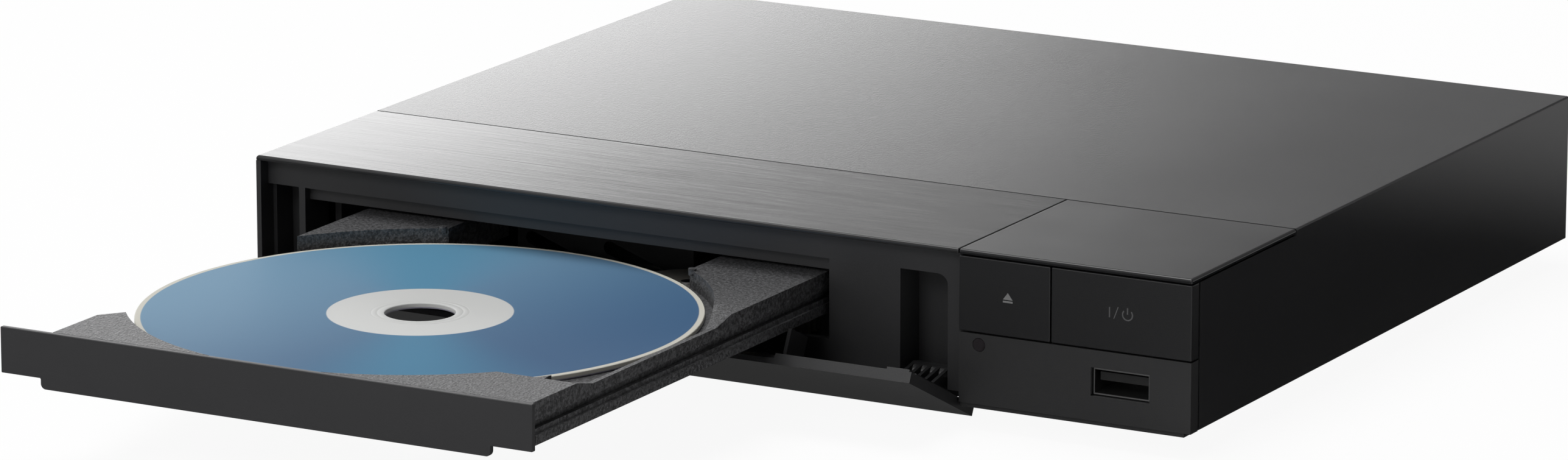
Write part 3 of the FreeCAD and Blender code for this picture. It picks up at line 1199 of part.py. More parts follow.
def pickup_sled():
    """Optical pickup: body, two bushings on the main rod, a fork and a half nut."""
    y0, y1 = LENS_Y - SLED_FRONT, LENS_Y + SLED_REAR
    xl, xr = DISC_X - ROD_DX, DISC_X + ROD_DX
    z, top = ROD_Z, ROD_Z + SLED_UP
    nut_y = y0 + NUT_AT
    nut0, nut1 = nut_y - NUT_L / 2, nut_y + NUT_L / 2
    nut_x = SCREW_X - SCREW_R - FIT
    act_x, act_y = DISC_X - ACTUATOR_W / 2, LENS_Y - SLED_FRONT + 1
    parts = [
        box(xl + SLED_IN, xr - SLED_IN_R, y0, y1, z - SLED_DOWN, top),
        box(xr - SLED_IN_R - 0.4, xr + 2.2, nut0, nut1, z - FORK_H / 2, z + FORK_H / 2),
        box(xr + 2.0, nut_x, nut0, nut1, SCREW_Z - NUT_H / 2, SCREW_Z + NUT_H / 2),
        box(act_x, act_x + ACTUATOR_W, act_y, act_y + ACTUATOR_D, top, top + ACTUATOR_H),
    ]
    for y in (y0, y1 - BUSHING_L):
        parts.append(rod_y(BUSHING_R, xl, y, y + BUSHING_L, z))
        parts.append(box(xl, xl + SLED_IN + 1, y, y + BUSHING_L, z - SLED_DOWN + 0.2, z + SLED_DOWN))
    reach = ROD_R + ROD_FIT
    fork = box(xr - ROD_R - 0.4, xr + 1.95, y0, y1, z - reach, z + reach)
    well = post(LENS_R + 0.2, DISC_X, LENS_Y, top + 0.4, Z1)
    cuts = [rod_y(reach, xl, y0 - 1, y1 + 1, z), fork, well]
    # the half nut's tooth stands in the screw's groove
    tip, root = SCREW_X - SCREW_R + SCREW_DEPTH * 0.4, nut_x - FIT
    outline = [(root, nut_y - 0.45), (tip, nut_y), (root, nut_y + 0.45)]
    tooth = prism([(px, py, SCREW_Z - 0.3) for px, py in outline], (0, 0, 0.6))
    return lowered(join(join(*parts).cut(cuts), tooth))


def objective_lens():
    """Lens with a domed top in its round holder."""
    z = ROD_Z + 2.5
    holder = post(LENS_R, DISC_X, LENS_Y, z, z + 0.7)
    ball = Part.makeSphere(4.0, Vector(DISC_X, LENS_Y, z - 2.1))
    dome = ball.common(post(LENS_R - 0.5, DISC_X, LENS_Y, z + 0.5, z + 1.4))
    return lowered(join(holder, dome))


def lead_screw():
    """Feed screw with one helical groove of the stated pitch."""
    y0, y1 = SCREW_Y0, FEED_Y0
    shaft = rod_y(SCREW_R, SCREW_X, y0, y1 - 1.4, SCREW_Z)
    start = LENS_Y - 3.0
    helix = Part.makeHelix(SCREW_PITCH, SLED_TRAVEL + 10.0, SCREW_R)
    outer, half = SCREW_R + 0.1, 0.62
    corners = [Vector(outer, 0, -half), Vector(SCREW_R - SCREW_DEPTH, 0, 0), Vector(outer, 0, half)]
    groove = Part.makePolygon(corners + corners[:1])
    cutter = Part.Wire(helix.Edges).makePipeShell([groove], True, True)
    # the helix stands on z; it is laid back along y and turned so that a groove
    # crosses the half nut's tooth
    cutter.rotate(Vector(0, 0, 0), Vector(1, 0, 0), -90)
    cutter.translate(Vector(SCREW_X, start, SCREW_Z))
    lead = LENS_Y - SLED_FRONT + NUT_AT - start
    turn = 180 - 360.0 * lead / SCREW_PITCH
    cutter.rotate(Vector(SCREW_X, start, SCREW_Z), Vector(0, 1, 0), turn)
    ends = [
        rod_y(SCREW_END_R, SCREW_X, a, b, SCREW_Z)
        for a, b in ((y0 - 2.0, y0 + 1), (y1 - 2.0, y1 - 0.2))
    ]
    return lowered(join(shaft.cut(cutter), *ends))


def feed_motor():
    return lowered(rod_y(FEED_R, SCREW_X, FEED_Y0, FEED_Y0 + FEED_L, SCREW_Z))


# Clamp

def clamper_bridge():
    """Steel bridge over the tray with the hole that carries the puck."""
    x0, x1 = LOADER_X0, GUIDE_X1 + LOADER_WALL
    plate = box(x0, x1, BRIDGE_Y0, BRIDGE_Y1, BRIDGE_Z, BRIDGE_Z + SHEET)
    ribs = [
        box(x0 + 2, x1 - 2, y, y + SHEET, BRIDGE_Z, BRIDGE_Z + BRIDGE_RIB)
        for y in (BRIDGE_Y0, BRIDGE_Y1 - SHEET)
    ]
    return join(plate, *ribs).cut(post(PUCK_R + 0.5, DISC_X, SPINDLE_Y, 0, Z1))


def clamper_puck():
    """Free-turning puck hung by its flange in the bridge."""
    x, y, z0 = DISC_X, SPINDLE_Y, PUCK_Z0
    z1 = BRIDGE_Z + SHEET + 0.2
    body = post(PUCK_R, x, y, z0, z1 + 0.5)
    flange = post(PUCK_R + PUCK_FLANGE, x, y, z1, z1 + 1.5)
    hollow = tube(PUCK_R - PUCK_WALL, CONE_R + CONE_H + 0.2, x, y, z0 + PUCK_FLOOR, Z1)
    nose = post(CONE_R + PUCK_NOSE, x, y, z0 - 1, z0 + PUCK_FLOOR + 0.4)
    return join(body, flange).cut([hollow, nose])


def clamp_magnet():
    z0 = PUCK_Z0 + PUCK_FLOOR
    return tube(PUCK_R - PUCK_WALL - 0.2, CONE_R + CONE_H + 0.3, DISC_X, SPINDLE_Y, z0, z0 + MAGNET_T)


# Electronics

def main_board():
    """Board beside the loader, with a tongue behind it for the rear sockets."""
    board = box(BOARD_X0, BOARD_X1, BOARD_Y0, BOARD_Y1, BOARD_Z, BOARD_TOP)
    tongue = box(BOARD_X0 - TONGUE_W, BOARD_X0, LOADER_Y1 + TONGUE_GAP, BOARD_Y1, BOARD_Z, BOARD_TOP)
    holes = [post(SCREW_R0 + HOLE_GAP + 0.1, x, y, 0, Z1) for x, y in BOARD_POSTS]
    return join(board, tongue).cut(holes)


def board_chips():
    """Main chip, smaller chips and two coils."""
    half = SOC_W / 2
    z = BOARD_TOP
    parts = [box(SOC_X - half, SOC_X + half, SOC_Y - half, SOC_Y + half, z, z + SOC_T)]
    for dx, dy, width, depth, height in CHIPS:
        x, y = SOC_X + dx, SOC_Y + dy
        parts.append(box(x, x + width, y, y + depth, z, z + height))
    return group(parts)


def heatsink():
    """Finned heatsink on the main chip."""
    half, z = HEATSINK_W / 2, BOARD_TOP + SOC_T
    y0, y1 = SOC_Y - half, SOC_Y + half
    step = (HEATSINK_W - FIN_T) / (FINS - 1)
    parts = [box(SOC_X - half, SOC_X + half, y0, y1, z, z + HEATSINK_BASE)]
    for i in range(FINS):
        x = SOC_X - half + step * i
        parts.append(box(x, x + FIN_T, y0, y1, z, z + FINS_H))
    return join(*parts)


def capacitors():
    return group(
        post(CAPACITOR_R, SOC_X + dx, SOC_Y + dy, BOARD_TOP, BOARD_TOP + CAPACITOR_H)
        for dx, dy in CAPACITORS
    )


def video_port():
    """Socket shell with its tongue."""
    x, z, t = VIDEO_X, BOARD_TOP, VIDEO_SHEET
    y0, y1, half = BOARD_Y1 - VIDEO_L, CASE_D - SOCKET_BACK, VIDEO_W / 2
    shell = box(x - half, x + half, y0, y1, z, z + VIDEO_H)
    shell = shell.cut(box(x - half + t, x + half - t, y0 + 1, y1, z + t, z + VIDEO_H - t))
    tongue = box(x - half + 1.9, x + half - 1.9, y0 + 0.9, y1 - 1, z + 2.5, z + 3.5)
    return join(shell, tongue)


def network_port():
    """Network socket with its bay and the notch for the plug's latch."""
    x, z = NETWORK_X, BOARD_TOP
    y0, y1 = BOARD_Y1 - NETWORK_L, CASE_D - SOCKET_BACK
    half, bay, up = NETWORK_W / 2, NETWORK_BAY_W / 2, NETWORK_BAY_UP
    body = box(x - half, x + half, y0, y1, z, z + NETWORK_H)
    room = box(x - bay, x + bay, y1 - NETWORK_L, y1, z + up, z + up + NETWORK_BAY_H)
    notch = box(x - bay / 2, x + bay / 2, y1 - NETWORK_L + 2, y1, z + up - 1.8, z + up + 0.2)
    return body.cut([room, notch])


def audio_jack():
    """Digital audio socket: housing on the board and a round barrel."""
    x, z, half, end = AUDIO_X, AUDIO_Z, AUDIO_W / 2, CASE_D + BARREL
    y0, y1 = BOARD_Y1 - AUDIO_L, REAR_Y - 0.2
    housing = box(x - half, x + half, y0, y1, BOARD_TOP, BOARD_TOP + AUDIO_H)
    barrel = rod_y(AUDIO_R, x, REAR_Y - 1, end, z)
    bore = rod_y(AUDIO_BORE_R, x, BOARD_Y1, end, z)
    ring = rod_y(AUDIO_R - 0.75, x, REAR_Y + 1, end, z).cut(rod_y(AUDIO_R - 1.65, x, REAR_Y, end, z))
    return join(housing, barrel).cut([bore, ring])


def power_inlet():
    """Power inlet with a round bore and a centre pin."""
    x, z, half = INLET_X, BOARD_TOP + INLET_UP, INLET_W / 2
    y0, y1 = BOARD_Y1 - INLET_L, CASE_D - SOCKET_BACK
    body = box(x - half, x + half, y0, y1, BOARD_TOP, BOARD_TOP + INLET_H)
    bore = rod_y(INLET_R, x, y1 - 9.5, y1, z)
    return join(body.cut(bore), rod_y(INLET_PIN_R, x, y1 - 9.6, y1 - 1, z))


def board_screws():
    return group(screw(x, y, BOARD_TOP, FLOOR_TOP + 1.0) for x, y in BOARD_POSTS)


def front_board():
    """Upright board behind the buttons, between the frame's sill and shelf."""
    y0, y1 = FRONT_BOARD_Y, FRONT_BOARD_Y + BOARD_T
    board = box(SPLIT_X + 2.5, X1 - BOARD_INSET, y0, y1, Z0 + SHELL + 0.1, SHELF_Z)
    return board.cut(port_room(SEAM, y0, y1))


def tact_switches():
    """One switch behind each button."""
    y, z, half = FRONT_BOARD_Y - SWITCH_T, BUTTON_MID_Z, SWITCH_W / 2
    return group(
        join(
            box(x - half, x + half, y, FRONT_BOARD_Y, z - half, z + half),
            rod_y(KEY_R, x, y - KEY_H, y + 0.1, z),
        )
        for x in (EJECT_X, POWER_X)
    )


def remote_receiver():
    return box(LENS_X - 2.0, LENS_X + 2.4, FACE_Y + 0.3, FRONT_BOARD_Y, LENS_Z - 2.4, LENS_Z + 2.4)


def front_port_shell():
    """Metal shell of the front socket."""
    y0, y1 = PORT_BACK, PORT_BACK + PORT_L
    return port_room(0, y0, y1).cut(port_room(-PORT_SHEET, y0, y1 - PORT_SHEET))


def front_port_tongue():
    """Plastic block at the shell's back with the tongue that carries the contacts."""
    end = PORT_BACK + PORT_L - PORT_SHEET
    z1 = PORT_Z + PORT_H / 2 - PORT_SHEET - 0.7
    plate = box(PORT_X - 5.6, PORT_X + 5.6, PORT_BACK + 1.3, end, z1 - TONGUE_T, z1)
    return join(plate, port_room(-PORT_SHEET, end - 3.2, end))


def radio_module():
    """Small shielded radio board at the left rear."""
    x0, x1, y0, z = RADIO_X0, RADIO_X0 + RADIO_W, RADIO_Y1 - RADIO_D, BASE_Z0 + RADIO_T
    board = box(x0, x1, y0, RADIO_Y1, BASE_Z0, z)
    return join(board, box(x0 + 8, x1 - 8, y0 + 2, RADIO_Y1 - 2, z, z + 2.0))


def flat_cable(points, across):
    """Band of even thickness along a bent line in one plane, run along a vector."""
    line = [Vector(*p) for p in points]
    lifted = [p + Vector(0, 0, RIBBON_T) for p in reversed(line)]
    return Part.Face(Part.makePolygon(line + lifted + line[:1])).extrude(Vector(*across))


def loader_ribbon():
    """Flat cable from the loader to the main board."""
    low, high = BASE_Z1 + 0.05, BOARD_TOP + 2.0
    line = [
        (TRAVERSE_X1 + 5, low),
        (LOADER_X1 - 4, low),
        (BOARD_X0 - 2, high),
        (BOARD_X0 + 3, high),
        (BOARD_X0 + 7, BOARD_TOP + 0.05),
    ]
    return flat_cable([(x, RIBBON_Y, z) for x, z in line], (0, LOADER_RIBBON_W, 0))


def front_ribbon():
    """Flat cable under the front socket, from the front board to the main board."""
    y, under = FRONT_BOARD_Y + BOARD_T, PORT_Z - PORT_H / 2 - 1.4
    line = [
        (y + 0.05, under - 1),
        (y + 4, under),
        (BOARD_Y0 - 12, under),
        (BOARD_Y0 - 3, BOARD_TOP + 0.6),
        (BOARD_Y0 + 6, BOARD_TOP + 0.05),
    ]
    return flat_cable([(SPLIT_X + 10, py, pz) for py, pz in line], (FRONT_RIBBON_W, 0, 0))


PIECES = {
    "top_cover": top_cover,
    "cover_screws": cover_screws,
    "bottom_chassis": bottom_chassis,
    "rear_panel": rear_panel,
    "rubber_feet": rubber_feet,
    "top_trim": top_trim,
    "control_cap": control_cap,
    "front_frame": front_frame,
    "lower_panel": lower_panel,
    "eject_button": eject_button,
    "power_button": power_button,
    "remote_window": remote_window,
    "flap_door": flap_door,
    "flap_pins": flap_pins,
    "flap_spring": flap_spring,
    "tray": tray,
    "tray_bezel": tray_bezel,
    "disc": disc,
    "loader_chassis": loader_chassis,
    "damper_bushings": damper_bushings,
    "loader_screws": loader_screws,
    "gear_axles": gear_axles,
    "tray_gear": tray_gear,
    "pulley_gear": pulley_gear,
    "motor_pulley": motor_pulley,
    "drive_belt": drive_belt,
    "loading_motor": loading_motor,
    "cam_slider": cam_slider,
    "traverse_base": traverse_base,
    "guide_rods": guide_rods,
    "spindle_motor": spindle_motor,
    "turntable": turntable,
    "pickup_sled": pickup_sled,
    "objective_lens": objective_lens,
    "lead_screw": lead_screw,
    "feed_motor": feed_motor,
    "clamper_bridge": clamper_bridge,
    "clamper_puck": clamper_puck,
    "clamp_magnet": clamp_magnet,
    "main_board": main_board,
    "board_chips": board_chips,
    "heatsink": heatsink,
    "capacitors": capacitors,
    "board_screws": board_screws,
    "video_port": video_port,
    "network_port": network_port,
    "audio_jack": audio_jack,
    "power_inlet": power_inlet,
    "front_board": front_board,
    "tact_switches": tact_switches,
    "remote_receiver": remote_receiver,
    "front_port_shell": front_port_shell,
    "front_port_tongue": front_port_tongue,
    "radio_module": radio_module,
    "loader_ribbon": loader_ribbon,
    "front_ribbon": front_ribbon,
}

os.makedirs("parts", exist_ok=True)
for name, make in PIECES.items():
    shape = make()
    shape.translate(Vector(0, -ORIGIN_Y, 0))
    state = f"solids {len(shape.Solids):2d}  valid {shape.isValid()}  volume {shape.Volume / 1000:9.3f} cm3"
    print(f"{name:18s} {state}")
    shape.exportStep(f"parts/{name}.step")
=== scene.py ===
"""Dresses the disc player: finishes, rounded edges, disc, symbols, sockets and stage."""

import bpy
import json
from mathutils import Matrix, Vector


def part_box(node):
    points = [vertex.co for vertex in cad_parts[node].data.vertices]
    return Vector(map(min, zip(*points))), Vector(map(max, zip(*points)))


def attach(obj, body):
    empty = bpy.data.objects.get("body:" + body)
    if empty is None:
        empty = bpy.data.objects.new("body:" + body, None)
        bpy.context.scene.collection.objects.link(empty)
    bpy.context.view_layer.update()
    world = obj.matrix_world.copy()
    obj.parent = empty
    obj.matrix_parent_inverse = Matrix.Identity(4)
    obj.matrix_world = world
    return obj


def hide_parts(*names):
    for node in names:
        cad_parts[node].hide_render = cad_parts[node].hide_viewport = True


bl_info = {
    "name": "Disc player",
    "version": (1, 0, 0),
    "blender": (4, 5, 0),
    "location": "3D View > Sidebar > Disc Player",
    "description": "Finishes and fine pieces for the player's case, tray, disc and loader",
    "category": "Object",
}

import json
import math

import bpy
from bpy.props import FloatProperty, FloatVectorProperty, PointerProperty
from bpy.types import Operator, Panel, PropertyGroup
from mathutils import Quaternion, Vector

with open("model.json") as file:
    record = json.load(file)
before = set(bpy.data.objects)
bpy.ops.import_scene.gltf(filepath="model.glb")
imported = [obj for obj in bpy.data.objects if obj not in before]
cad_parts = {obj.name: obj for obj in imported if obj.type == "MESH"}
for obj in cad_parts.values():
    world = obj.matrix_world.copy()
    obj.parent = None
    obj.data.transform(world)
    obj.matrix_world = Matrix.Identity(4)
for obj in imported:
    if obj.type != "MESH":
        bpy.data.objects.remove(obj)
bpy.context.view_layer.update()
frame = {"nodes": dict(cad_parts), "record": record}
NODES = frame["nodes"]
MM = 0.001
GOLD = (0.83, 0.62, 0.28)


# Colours and sizes that a user would change


def colour(name, words, value):
    return FloatVectorProperty(
        name=name, description=words, subtype="COLOR", size=4, min=0.0, max=1.0,
        default=(*value, 1.0),
    )


def length(name, words, value):
    return FloatProperty(
        name=name, description=words, subtype="DISTANCE", unit="LENGTH", min=0.0, default=value,
    )


class CaseLook(PropertyGroup):
    paint: colour("Cover paint", "Satin paint of the cover and the rear panel",
                  (0.021, 0.021, 0.022))
    trim: colour("Brushed strip", "Hairline strip along the front of the top",
                 (0.038, 0.038, 0.039))
    edge: length("Sheet edge", "Rounding of the cover's folded edges", 0.4 * MM)


class FrontLook(PropertyGroup):
    keys: colour("Keys", "Eject and power keys", (0.0105, 0.0105, 0.0115))
    panel: colour("Lower panel", "Panel under the keys", (0.0255, 0.0255, 0.0262))
    recess: colour("Recessed frame", "Frame behind the flap", (0.0330, 0.0330, 0.0345))
    gloss: colour("Glossy cap", "Polished cap over the keys", (0.010, 0.010, 0.011))
    bright_ink: colour("Eject symbol", "Print of the eject symbol", (0.20, 0.20, 0.20))
    dim_ink: colour("Power symbol", "Print of the power symbol", (0.085, 0.085, 0.087))
    edge: length("Key edge", "Rounding of the keys' and lower panel's edges", 0.22 * MM)


class TrayLook(PropertyGroup):
    moulding: colour("Tray", "Textured tray moulding", (0.048, 0.048, 0.050))
    plate: colour("Front plate", "Satin front plate of the tray", (0.037, 0.037, 0.039))
    flap: colour("Flap", "Drop-down flap", (0.025, 0.025, 0.026))
    edge: length("Moulded edge", "Rounding of the tray's edges", 0.2 * MM)


class DiscLook(PropertyGroup):
    # The print's blue is lighter at the left and darker at the right as painted light and painted
    # shade, and its sweep is a painted highlight
    left: colour("Print, left", "Blue of the print at its left", (0.165, 0.300, 0.430))
    right: colour("Print, right", "Blue of the print at its right", (0.048, 0.115, 0.225))
    sweep: colour("Print, sweep", "Paler band across the print", (0.065, 0.255, 0.400))
    hub: colour("Hub", "White ring round the hole", (0.60, 0.605, 0.595))
    rim: colour("Rim", "Bare rim outside the print", (0.60, 0.585, 0.52))


class StageLook(PropertyGroup):
    floor: colour("Floor", "Floor and backdrop", (0.93, 0.93, 0.93))
    lens: FloatProperty(name="Lens", description="Focal length for a picture 36 mm wide",
                        default=184.2, min=20.0)


def look(name):
    """The settings of one group of pieces."""
    return getattr(bpy.context.scene, name)


# Shader maths and finishes


class Value:
    """A socket that adds its Math nodes when it is used in an expression."""

    def __init__(self, nodes, socket):
        self.nodes, self.socket = nodes, socket

    def math(self, kind, *others):
        sockets = dict(enumerate((self, *others)))
        return self.nodes.node("ShaderNodeMath", {"operation": kind}, sockets)

    def flipped(self, kind, other):
        return self.nodes.node("ShaderNodeMath", {"operation": kind}, {0: other, 1: self})

    def __add__(self, other):
        return self.math("ADD", other)

    def __sub__(self, other):
        return self.math("SUBTRACT", other)

    def __mul__(self, other):
        return self.math("MULTIPLY", other)

    def __truediv__(self, other):
        return self.math("DIVIDE", other)

    def __pow__(self, other):
        return self.math("POWER", other)

    def __rsub__(self, other):
        return self.flipped("SUBTRACT", other)

    def __rtruediv__(self, other):
        return self.flipped("DIVIDE", other)

    __radd__ = __add__
    __rmul__ = __mul__

    def size(self):
        return self.math("ABSOLUTE")

    def above(self, limit):
        return self.math("GREATER_THAN", limit)

    def step(self, low, high):
        """0 below low, 1 above high, smooth between them."""
        return self.nodes.node(
            "ShaderNodeMapRange", {"interpolation_type": "SMOOTHSTEP"},
            {"Value": self, "From Min": low, "From Max": high},
        )


class Nodes:
    """A node tree that is filled one node at a time."""

    def __init__(self, tree):
        self.tree = tree
        tree.nodes.clear()

    def node(self, kind, settings=None, sockets=None, out=None):
        made = self.tree.nodes.new(kind)
        for name, value in (settings or {}).items():
            setattr(made, name, value)
        for name, value in (sockets or {}).items():
            self.feed(made.inputs[name], value)
        if not made.outputs:
            return made
        return Value(self, made.outputs[out] if out else next(o for o in made.outputs if o.enabled))

    def feed(self, socket, value):
        if isinstance(value, Value):
            self.tree.links.new(value.socket, socket)
        elif hasattr(socket.default_value, "__len__"):
            have = len(socket.default_value)
            value = tuple(value)
            socket.default_value = value[:have] if len(value) >= have else (*value, 1.0)
        else:
            socket.default_value = value

    def axes(self, where):
        split = self.tree.nodes.new("ShaderNodeSeparateXYZ")
        self.feed(split.inputs[0], where)
        return [Value(self, o) for o in split.outputs]

    def mix(self, factor, a, b):
        """Colour a where the factor is 0, colour b where it is 1. The node names its
        sockets A and B once for each type, and the colours' pair is 6 and 7."""
        return self.node("ShaderNodeMix", {"data_type": "RGBA"}, {0: factor, 6: a, 7: b})

    def blend(self, factor, a, b):
        """Shader a where the factor is 0, shader b where it is 1."""
        return self.node("ShaderNodeMixShader", {}, {0: factor, 1: a, 2: b})

    def ray(self, kind):
        return self.node("ShaderNodeLightPath", out=f"Is {kind} Ray")


def shade(base, by):
    return tuple(c * by for c in tuple(base)[:3]) + (1.0,)


class Finish(Nodes):
    """A material whose nodes are added round a Principled shader."""

    def __init__(self, name, base, roughness=0.5, **shader):
        self.base = base
        self.material = bpy.data.materials.new(name)
        self.material.use_nodes = True
        super().__init__(self.material.node_tree)
        self.out = self.tree.nodes.new("ShaderNodeOutputMaterial")
        self.shader = self.tree.nodes.new("ShaderNodeBsdfPrincipled")
        self.tree.links.new(self.shader.outputs["BSDF"], self.out.inputs["Surface"])
        self.set("Base Color", base)
        self.set("Roughness", roughness)
        for socket, value in shader.items():
            self.set(socket.replace("_", " "), value)
        self.material.diffuse_color = tuple(self.shader.inputs["Base Color"].default_value)

    def set(self, socket, value):
        self.feed(self.shader.inputs[socket], value)

    def place(self, shift=(0, 0, 0), scale=(1, 1, 1), turn=(0, 0, 0)):
        where = self.node("ShaderNodeTexCoord", out="Object")
        return self.node(
            "ShaderNodeMapping", {"vector_type": "POINT"},
            {"Vector": where, "Location": shift, "Rotation": turn, "Scale": scale},
        )

    def noise(self, where, waves, detail=3.0, rough=0.5):
        """Noise with so many waves to the metre and so many finer layers on them."""
        return self.node(
            "ShaderNodeTexNoise", {},
            {"Vector": where, "Scale": waves, "Detail": detail, "Roughness": rough}, "Fac",
        )

    def mottle(self, factor, dark, pale):
        """Vary the base colour between a darker and a paler shade of it."""
        self.set("Base Color", self.mix(factor, shade(self.base, dark), shade(self.base, pale)))

    def bump(self, height, distance, strength):
        sockets = {"Height": height, "Distance": distance, "Strength": strength}
        self.set("Normal", self.node("ShaderNodeBump", {}, sockets))


def satin_paint(name, base):
    """Painted steel: an even satin coat with a fine orange peel."""
    f = Finish(name, base)
    where = f.place()
    grain = f.noise(where, 2600.0, 2.0)
    cloud = f.noise(where, 18.0, 3.0)
    f.set("Roughness", 0.10 + 0.05 * grain + 0.04 * cloud)
    f.mottle(cloud, 0.92, 1.08)
    f.bump(grain, 0.02 * MM, 0.6)
    return f.material


def hairline(name, base):
    """Dark film brushed along the strip: fine hairs, and longer strokes that wander."""
    f = Finish(name, base, Metallic=0.25)

    def brushed(waves, detail, rough=0.5, shift=0.0, turn=0.0):
        """Noise drawn out along the strip: waves are given along it, across it and up."""
        where = f.place(scale=waves, shift=(shift, 0, 0), turn=(0, 0, turn))
        return f.noise(where, 1.0, detail, rough)

    hairs = brushed((9.0, 2600.0, 900.0), 2.0)
    short_hairs = brushed((60.0, 5200.0, 900.0), 2.0, shift=3.1)
    strokes = brushed((42.0, 380.0, 60.0), 3.0, 0.62, turn=0.05)
    long_strokes = brushed((16.0, 210.0, 60.0), 4.0, 0.6, turn=-0.03)
    streaks = 0.6 * hairs + 0.4 * short_hairs
    wander = 0.6 * strokes + 0.4 * long_strokes
    f.mottle((0.35 * streaks + 0.65 * wander).step(0.36, 0.64), 0.74, 1.28)
    f.set("Roughness", 0.02 + 0.09 * streaks + 0.09 * wander)
    f.bump(0.5 * streaks + 0.5 * wander, 0.04 * MM, 0.5)
    return f.material


def moulded(name, base, rough=0.42, **shader):
    """Moulded plastic with a fine spark-eroded skin."""
    f = Finish(name, base, **shader)
    where = f.place()
    fine = f.noise(where, 3200.0, 2.0)
    cloud = f.noise(where, 30.0, 2.0)
    f.mottle(cloud, 0.9, 1.1)
    f.set("Roughness", rough - 0.05 + 0.1 * fine)
    f.bump(fine, 0.02 * MM, 0.7)
    return f.material


def polished(name, base, rough=0.10, coat=0.0):
    """Polished plastic with a faint haze."""
    f = Finish(name, base, Coat_Weight=coat, Coat_Roughness=0.06)
    where = f.place()
    cloud = f.noise(where, 45.0, 4.0)
    f.set("Roughness", rough + 0.06 * cloud)
    f.mottle(cloud, 0.9, 1.1)
    f.bump(f.noise(where, 160.0, 1.0), 0.01 * MM, 0.2)
    return f.material


def sparkle_texture(name, base):
    """Coarse leathery texture whose facets glint, as on the tray's deck."""
    f = Finish(name, base, Specular_IOR_Level=0.65)
    where = f.place()
    cells = f.node("ShaderNodeTexVoronoi", {"feature": "F1"}, {"Vector": where, "Scale": 1900.0},
                   "Distance")
    fine = f.noise(where, 3000.0, 2.0)
    tint = f.noise(where, 1300.0, 3.0, 0.7)
    f.mottle(tint.step(0.36, 0.66), 0.42, 2.2)
    f.set("Roughness", 0.30 + 0.30 * fine)
    f.bump(cells + 0.5 * fine, 0.14 * MM, 0.8)
    return f.material


def bare_metal(name, base, rough):
    """Plated or ground steel."""
    f = Finish(name, base, Metallic=1.0)
    where = f.place()
    fine = f.noise(where, 1400.0, 2.0)
    cloud = f.noise(where, 55.0, 3.0)
    f.mottle(cloud, 0.85, 1.12)
    f.set("Roughness", rough + 0.12 * fine)
    f.bump(fine, 0.01 * MM, 0.4)
    return f.material


def rubber(name, base):
    """Matt rubber with a rough skin."""
    f = Finish(name, base, Specular_IOR_Level=0.3)
    fine = f.noise(f.place(), 1600.0, 3.0)
    f.set("Roughness", 0.72 + 0.18 * fine)
    f.mottle(fine, 0.8, 1.25)
    f.bump(fine, 0.04 * MM, 0.6)
    return f.material


def circuit(name, base):
    """Solder mask over copper: faint tracks under a green lacquer."""
    f = Finish(name, base, Coat_Weight=0.5, Coat_Roughness=0.2)
    where = f.place()
    tracks = f.node(
        "ShaderNodeTexBrick", {"offset": 0.37, "squash": 1.6},
        {"Vector": where, "Scale": 240.0, "Mortar Size": 0.09}, "Fac",
    )
    copper = tracks * f.noise(where, 120.0, 1.0).step(0.45, 0.5)
    f.mottle(copper, 1.0, 1.9)
    f.set("Roughness", 0.34 + 0.1 * f.noise(where, 900.0, 2.0))
    f.bump(copper, 0.03 * MM, 0.5)
    return f.material


# Modelling helpers

SAME_PLACE = 0.001 * MM  # corners that are closer than this are one
SAME_PLANE = math.radians(0.3)  # faces that are turned by less than this are one flat


def alone(obj=None):
    """Deselect everything, then make one object the selected and active one."""
    bpy.ops.object.select_all(action="DESELECT")
    if obj is not None:
        obj.select_set(True)
        bpy.context.view_layer.objects.active = obj
    return obj


def settle(obj):
    """Leave the object at the origin, with its place in its mesh."""
    alone(obj)
    bpy.ops.object.transform_apply(location=True, rotation=True, scale=True)
    return obj


def edit(obj, *steps):
    """Run steps on the object's mesh in edit mode."""
    alone(obj)
    bpy.ops.object.mode_set(mode="EDIT")
    for run in steps:
        run()
    bpy.ops.object.mode_set(mode="OBJECT")
    return obj


def picked(obj, kind, test, *steps):
    """Run steps on the vertices, edges or faces that pass the test. It is given a
    vertex's place, an edge's two ends, or a face's middle and normal."""
    edit(obj, lambda: bpy.ops.mesh.select_mode(type=kind),
         lambda: bpy.ops.mesh.select_all(action="DESELECT"))
    mesh = obj.data
    if kind == "VERT":
        for v in mesh.vertices:
            v.select = test(v.co)
    elif kind == "EDGE":
        for e in mesh.edges:
            a, b = (mesh.vertices[i].co for i in e.vertices)
            e.select = test(a, b)
    else:
        for p in mesh.polygons:
            p.select = test(p.center, p.normal)
    return edit(obj, *steps)


def select_all():
    bpy.ops.mesh.select_all(action="SELECT")


def merge_doubles():
    select_all()
    bpy.ops.mesh.remove_doubles(threshold=SAME_PLACE)


def mend_normals():
    select_all()
    bpy.ops.mesh.normals_make_consistent(inside=False)


def apply_modifier(obj, kind, **settings):
    alone(obj)
    bpy.ops.object.modifier_add(type=kind)
    made = obj.modifiers[-1]
    for name, value in settings.items():
        setattr(made, name, value)
    bpy.ops.object.modifier_apply(modifier=made.name)
    return obj


def smooth(obj, angle=35.0):
    """Shade smooth what turns by less than the angle, in degrees, and keep flats flat."""
    alone(obj)
    bpy.ops.object.shade_smooth_by_angle(angle=math.radians(angle), keep_sharp_edges=False)
    return apply_modifier(obj, "WEIGHTED_NORMAL", mode="FACE_AREA", weight=100, keep_sharp=True)


def rounded(obj, width, segments=2):
    """Round the edges at which the surface turns by more than 40 degrees."""
    return apply_modifier(
        obj, "BEVEL", width=width, segments=segments, limit_method="ANGLE",
        angle_limit=math.radians(40.0), use_clamp_overlap=True, miter_outer="MITER_ARC",
    )


def dress(obj, material):
    obj.data.materials.clear()
    obj.data.materials.append(material)
    return obj


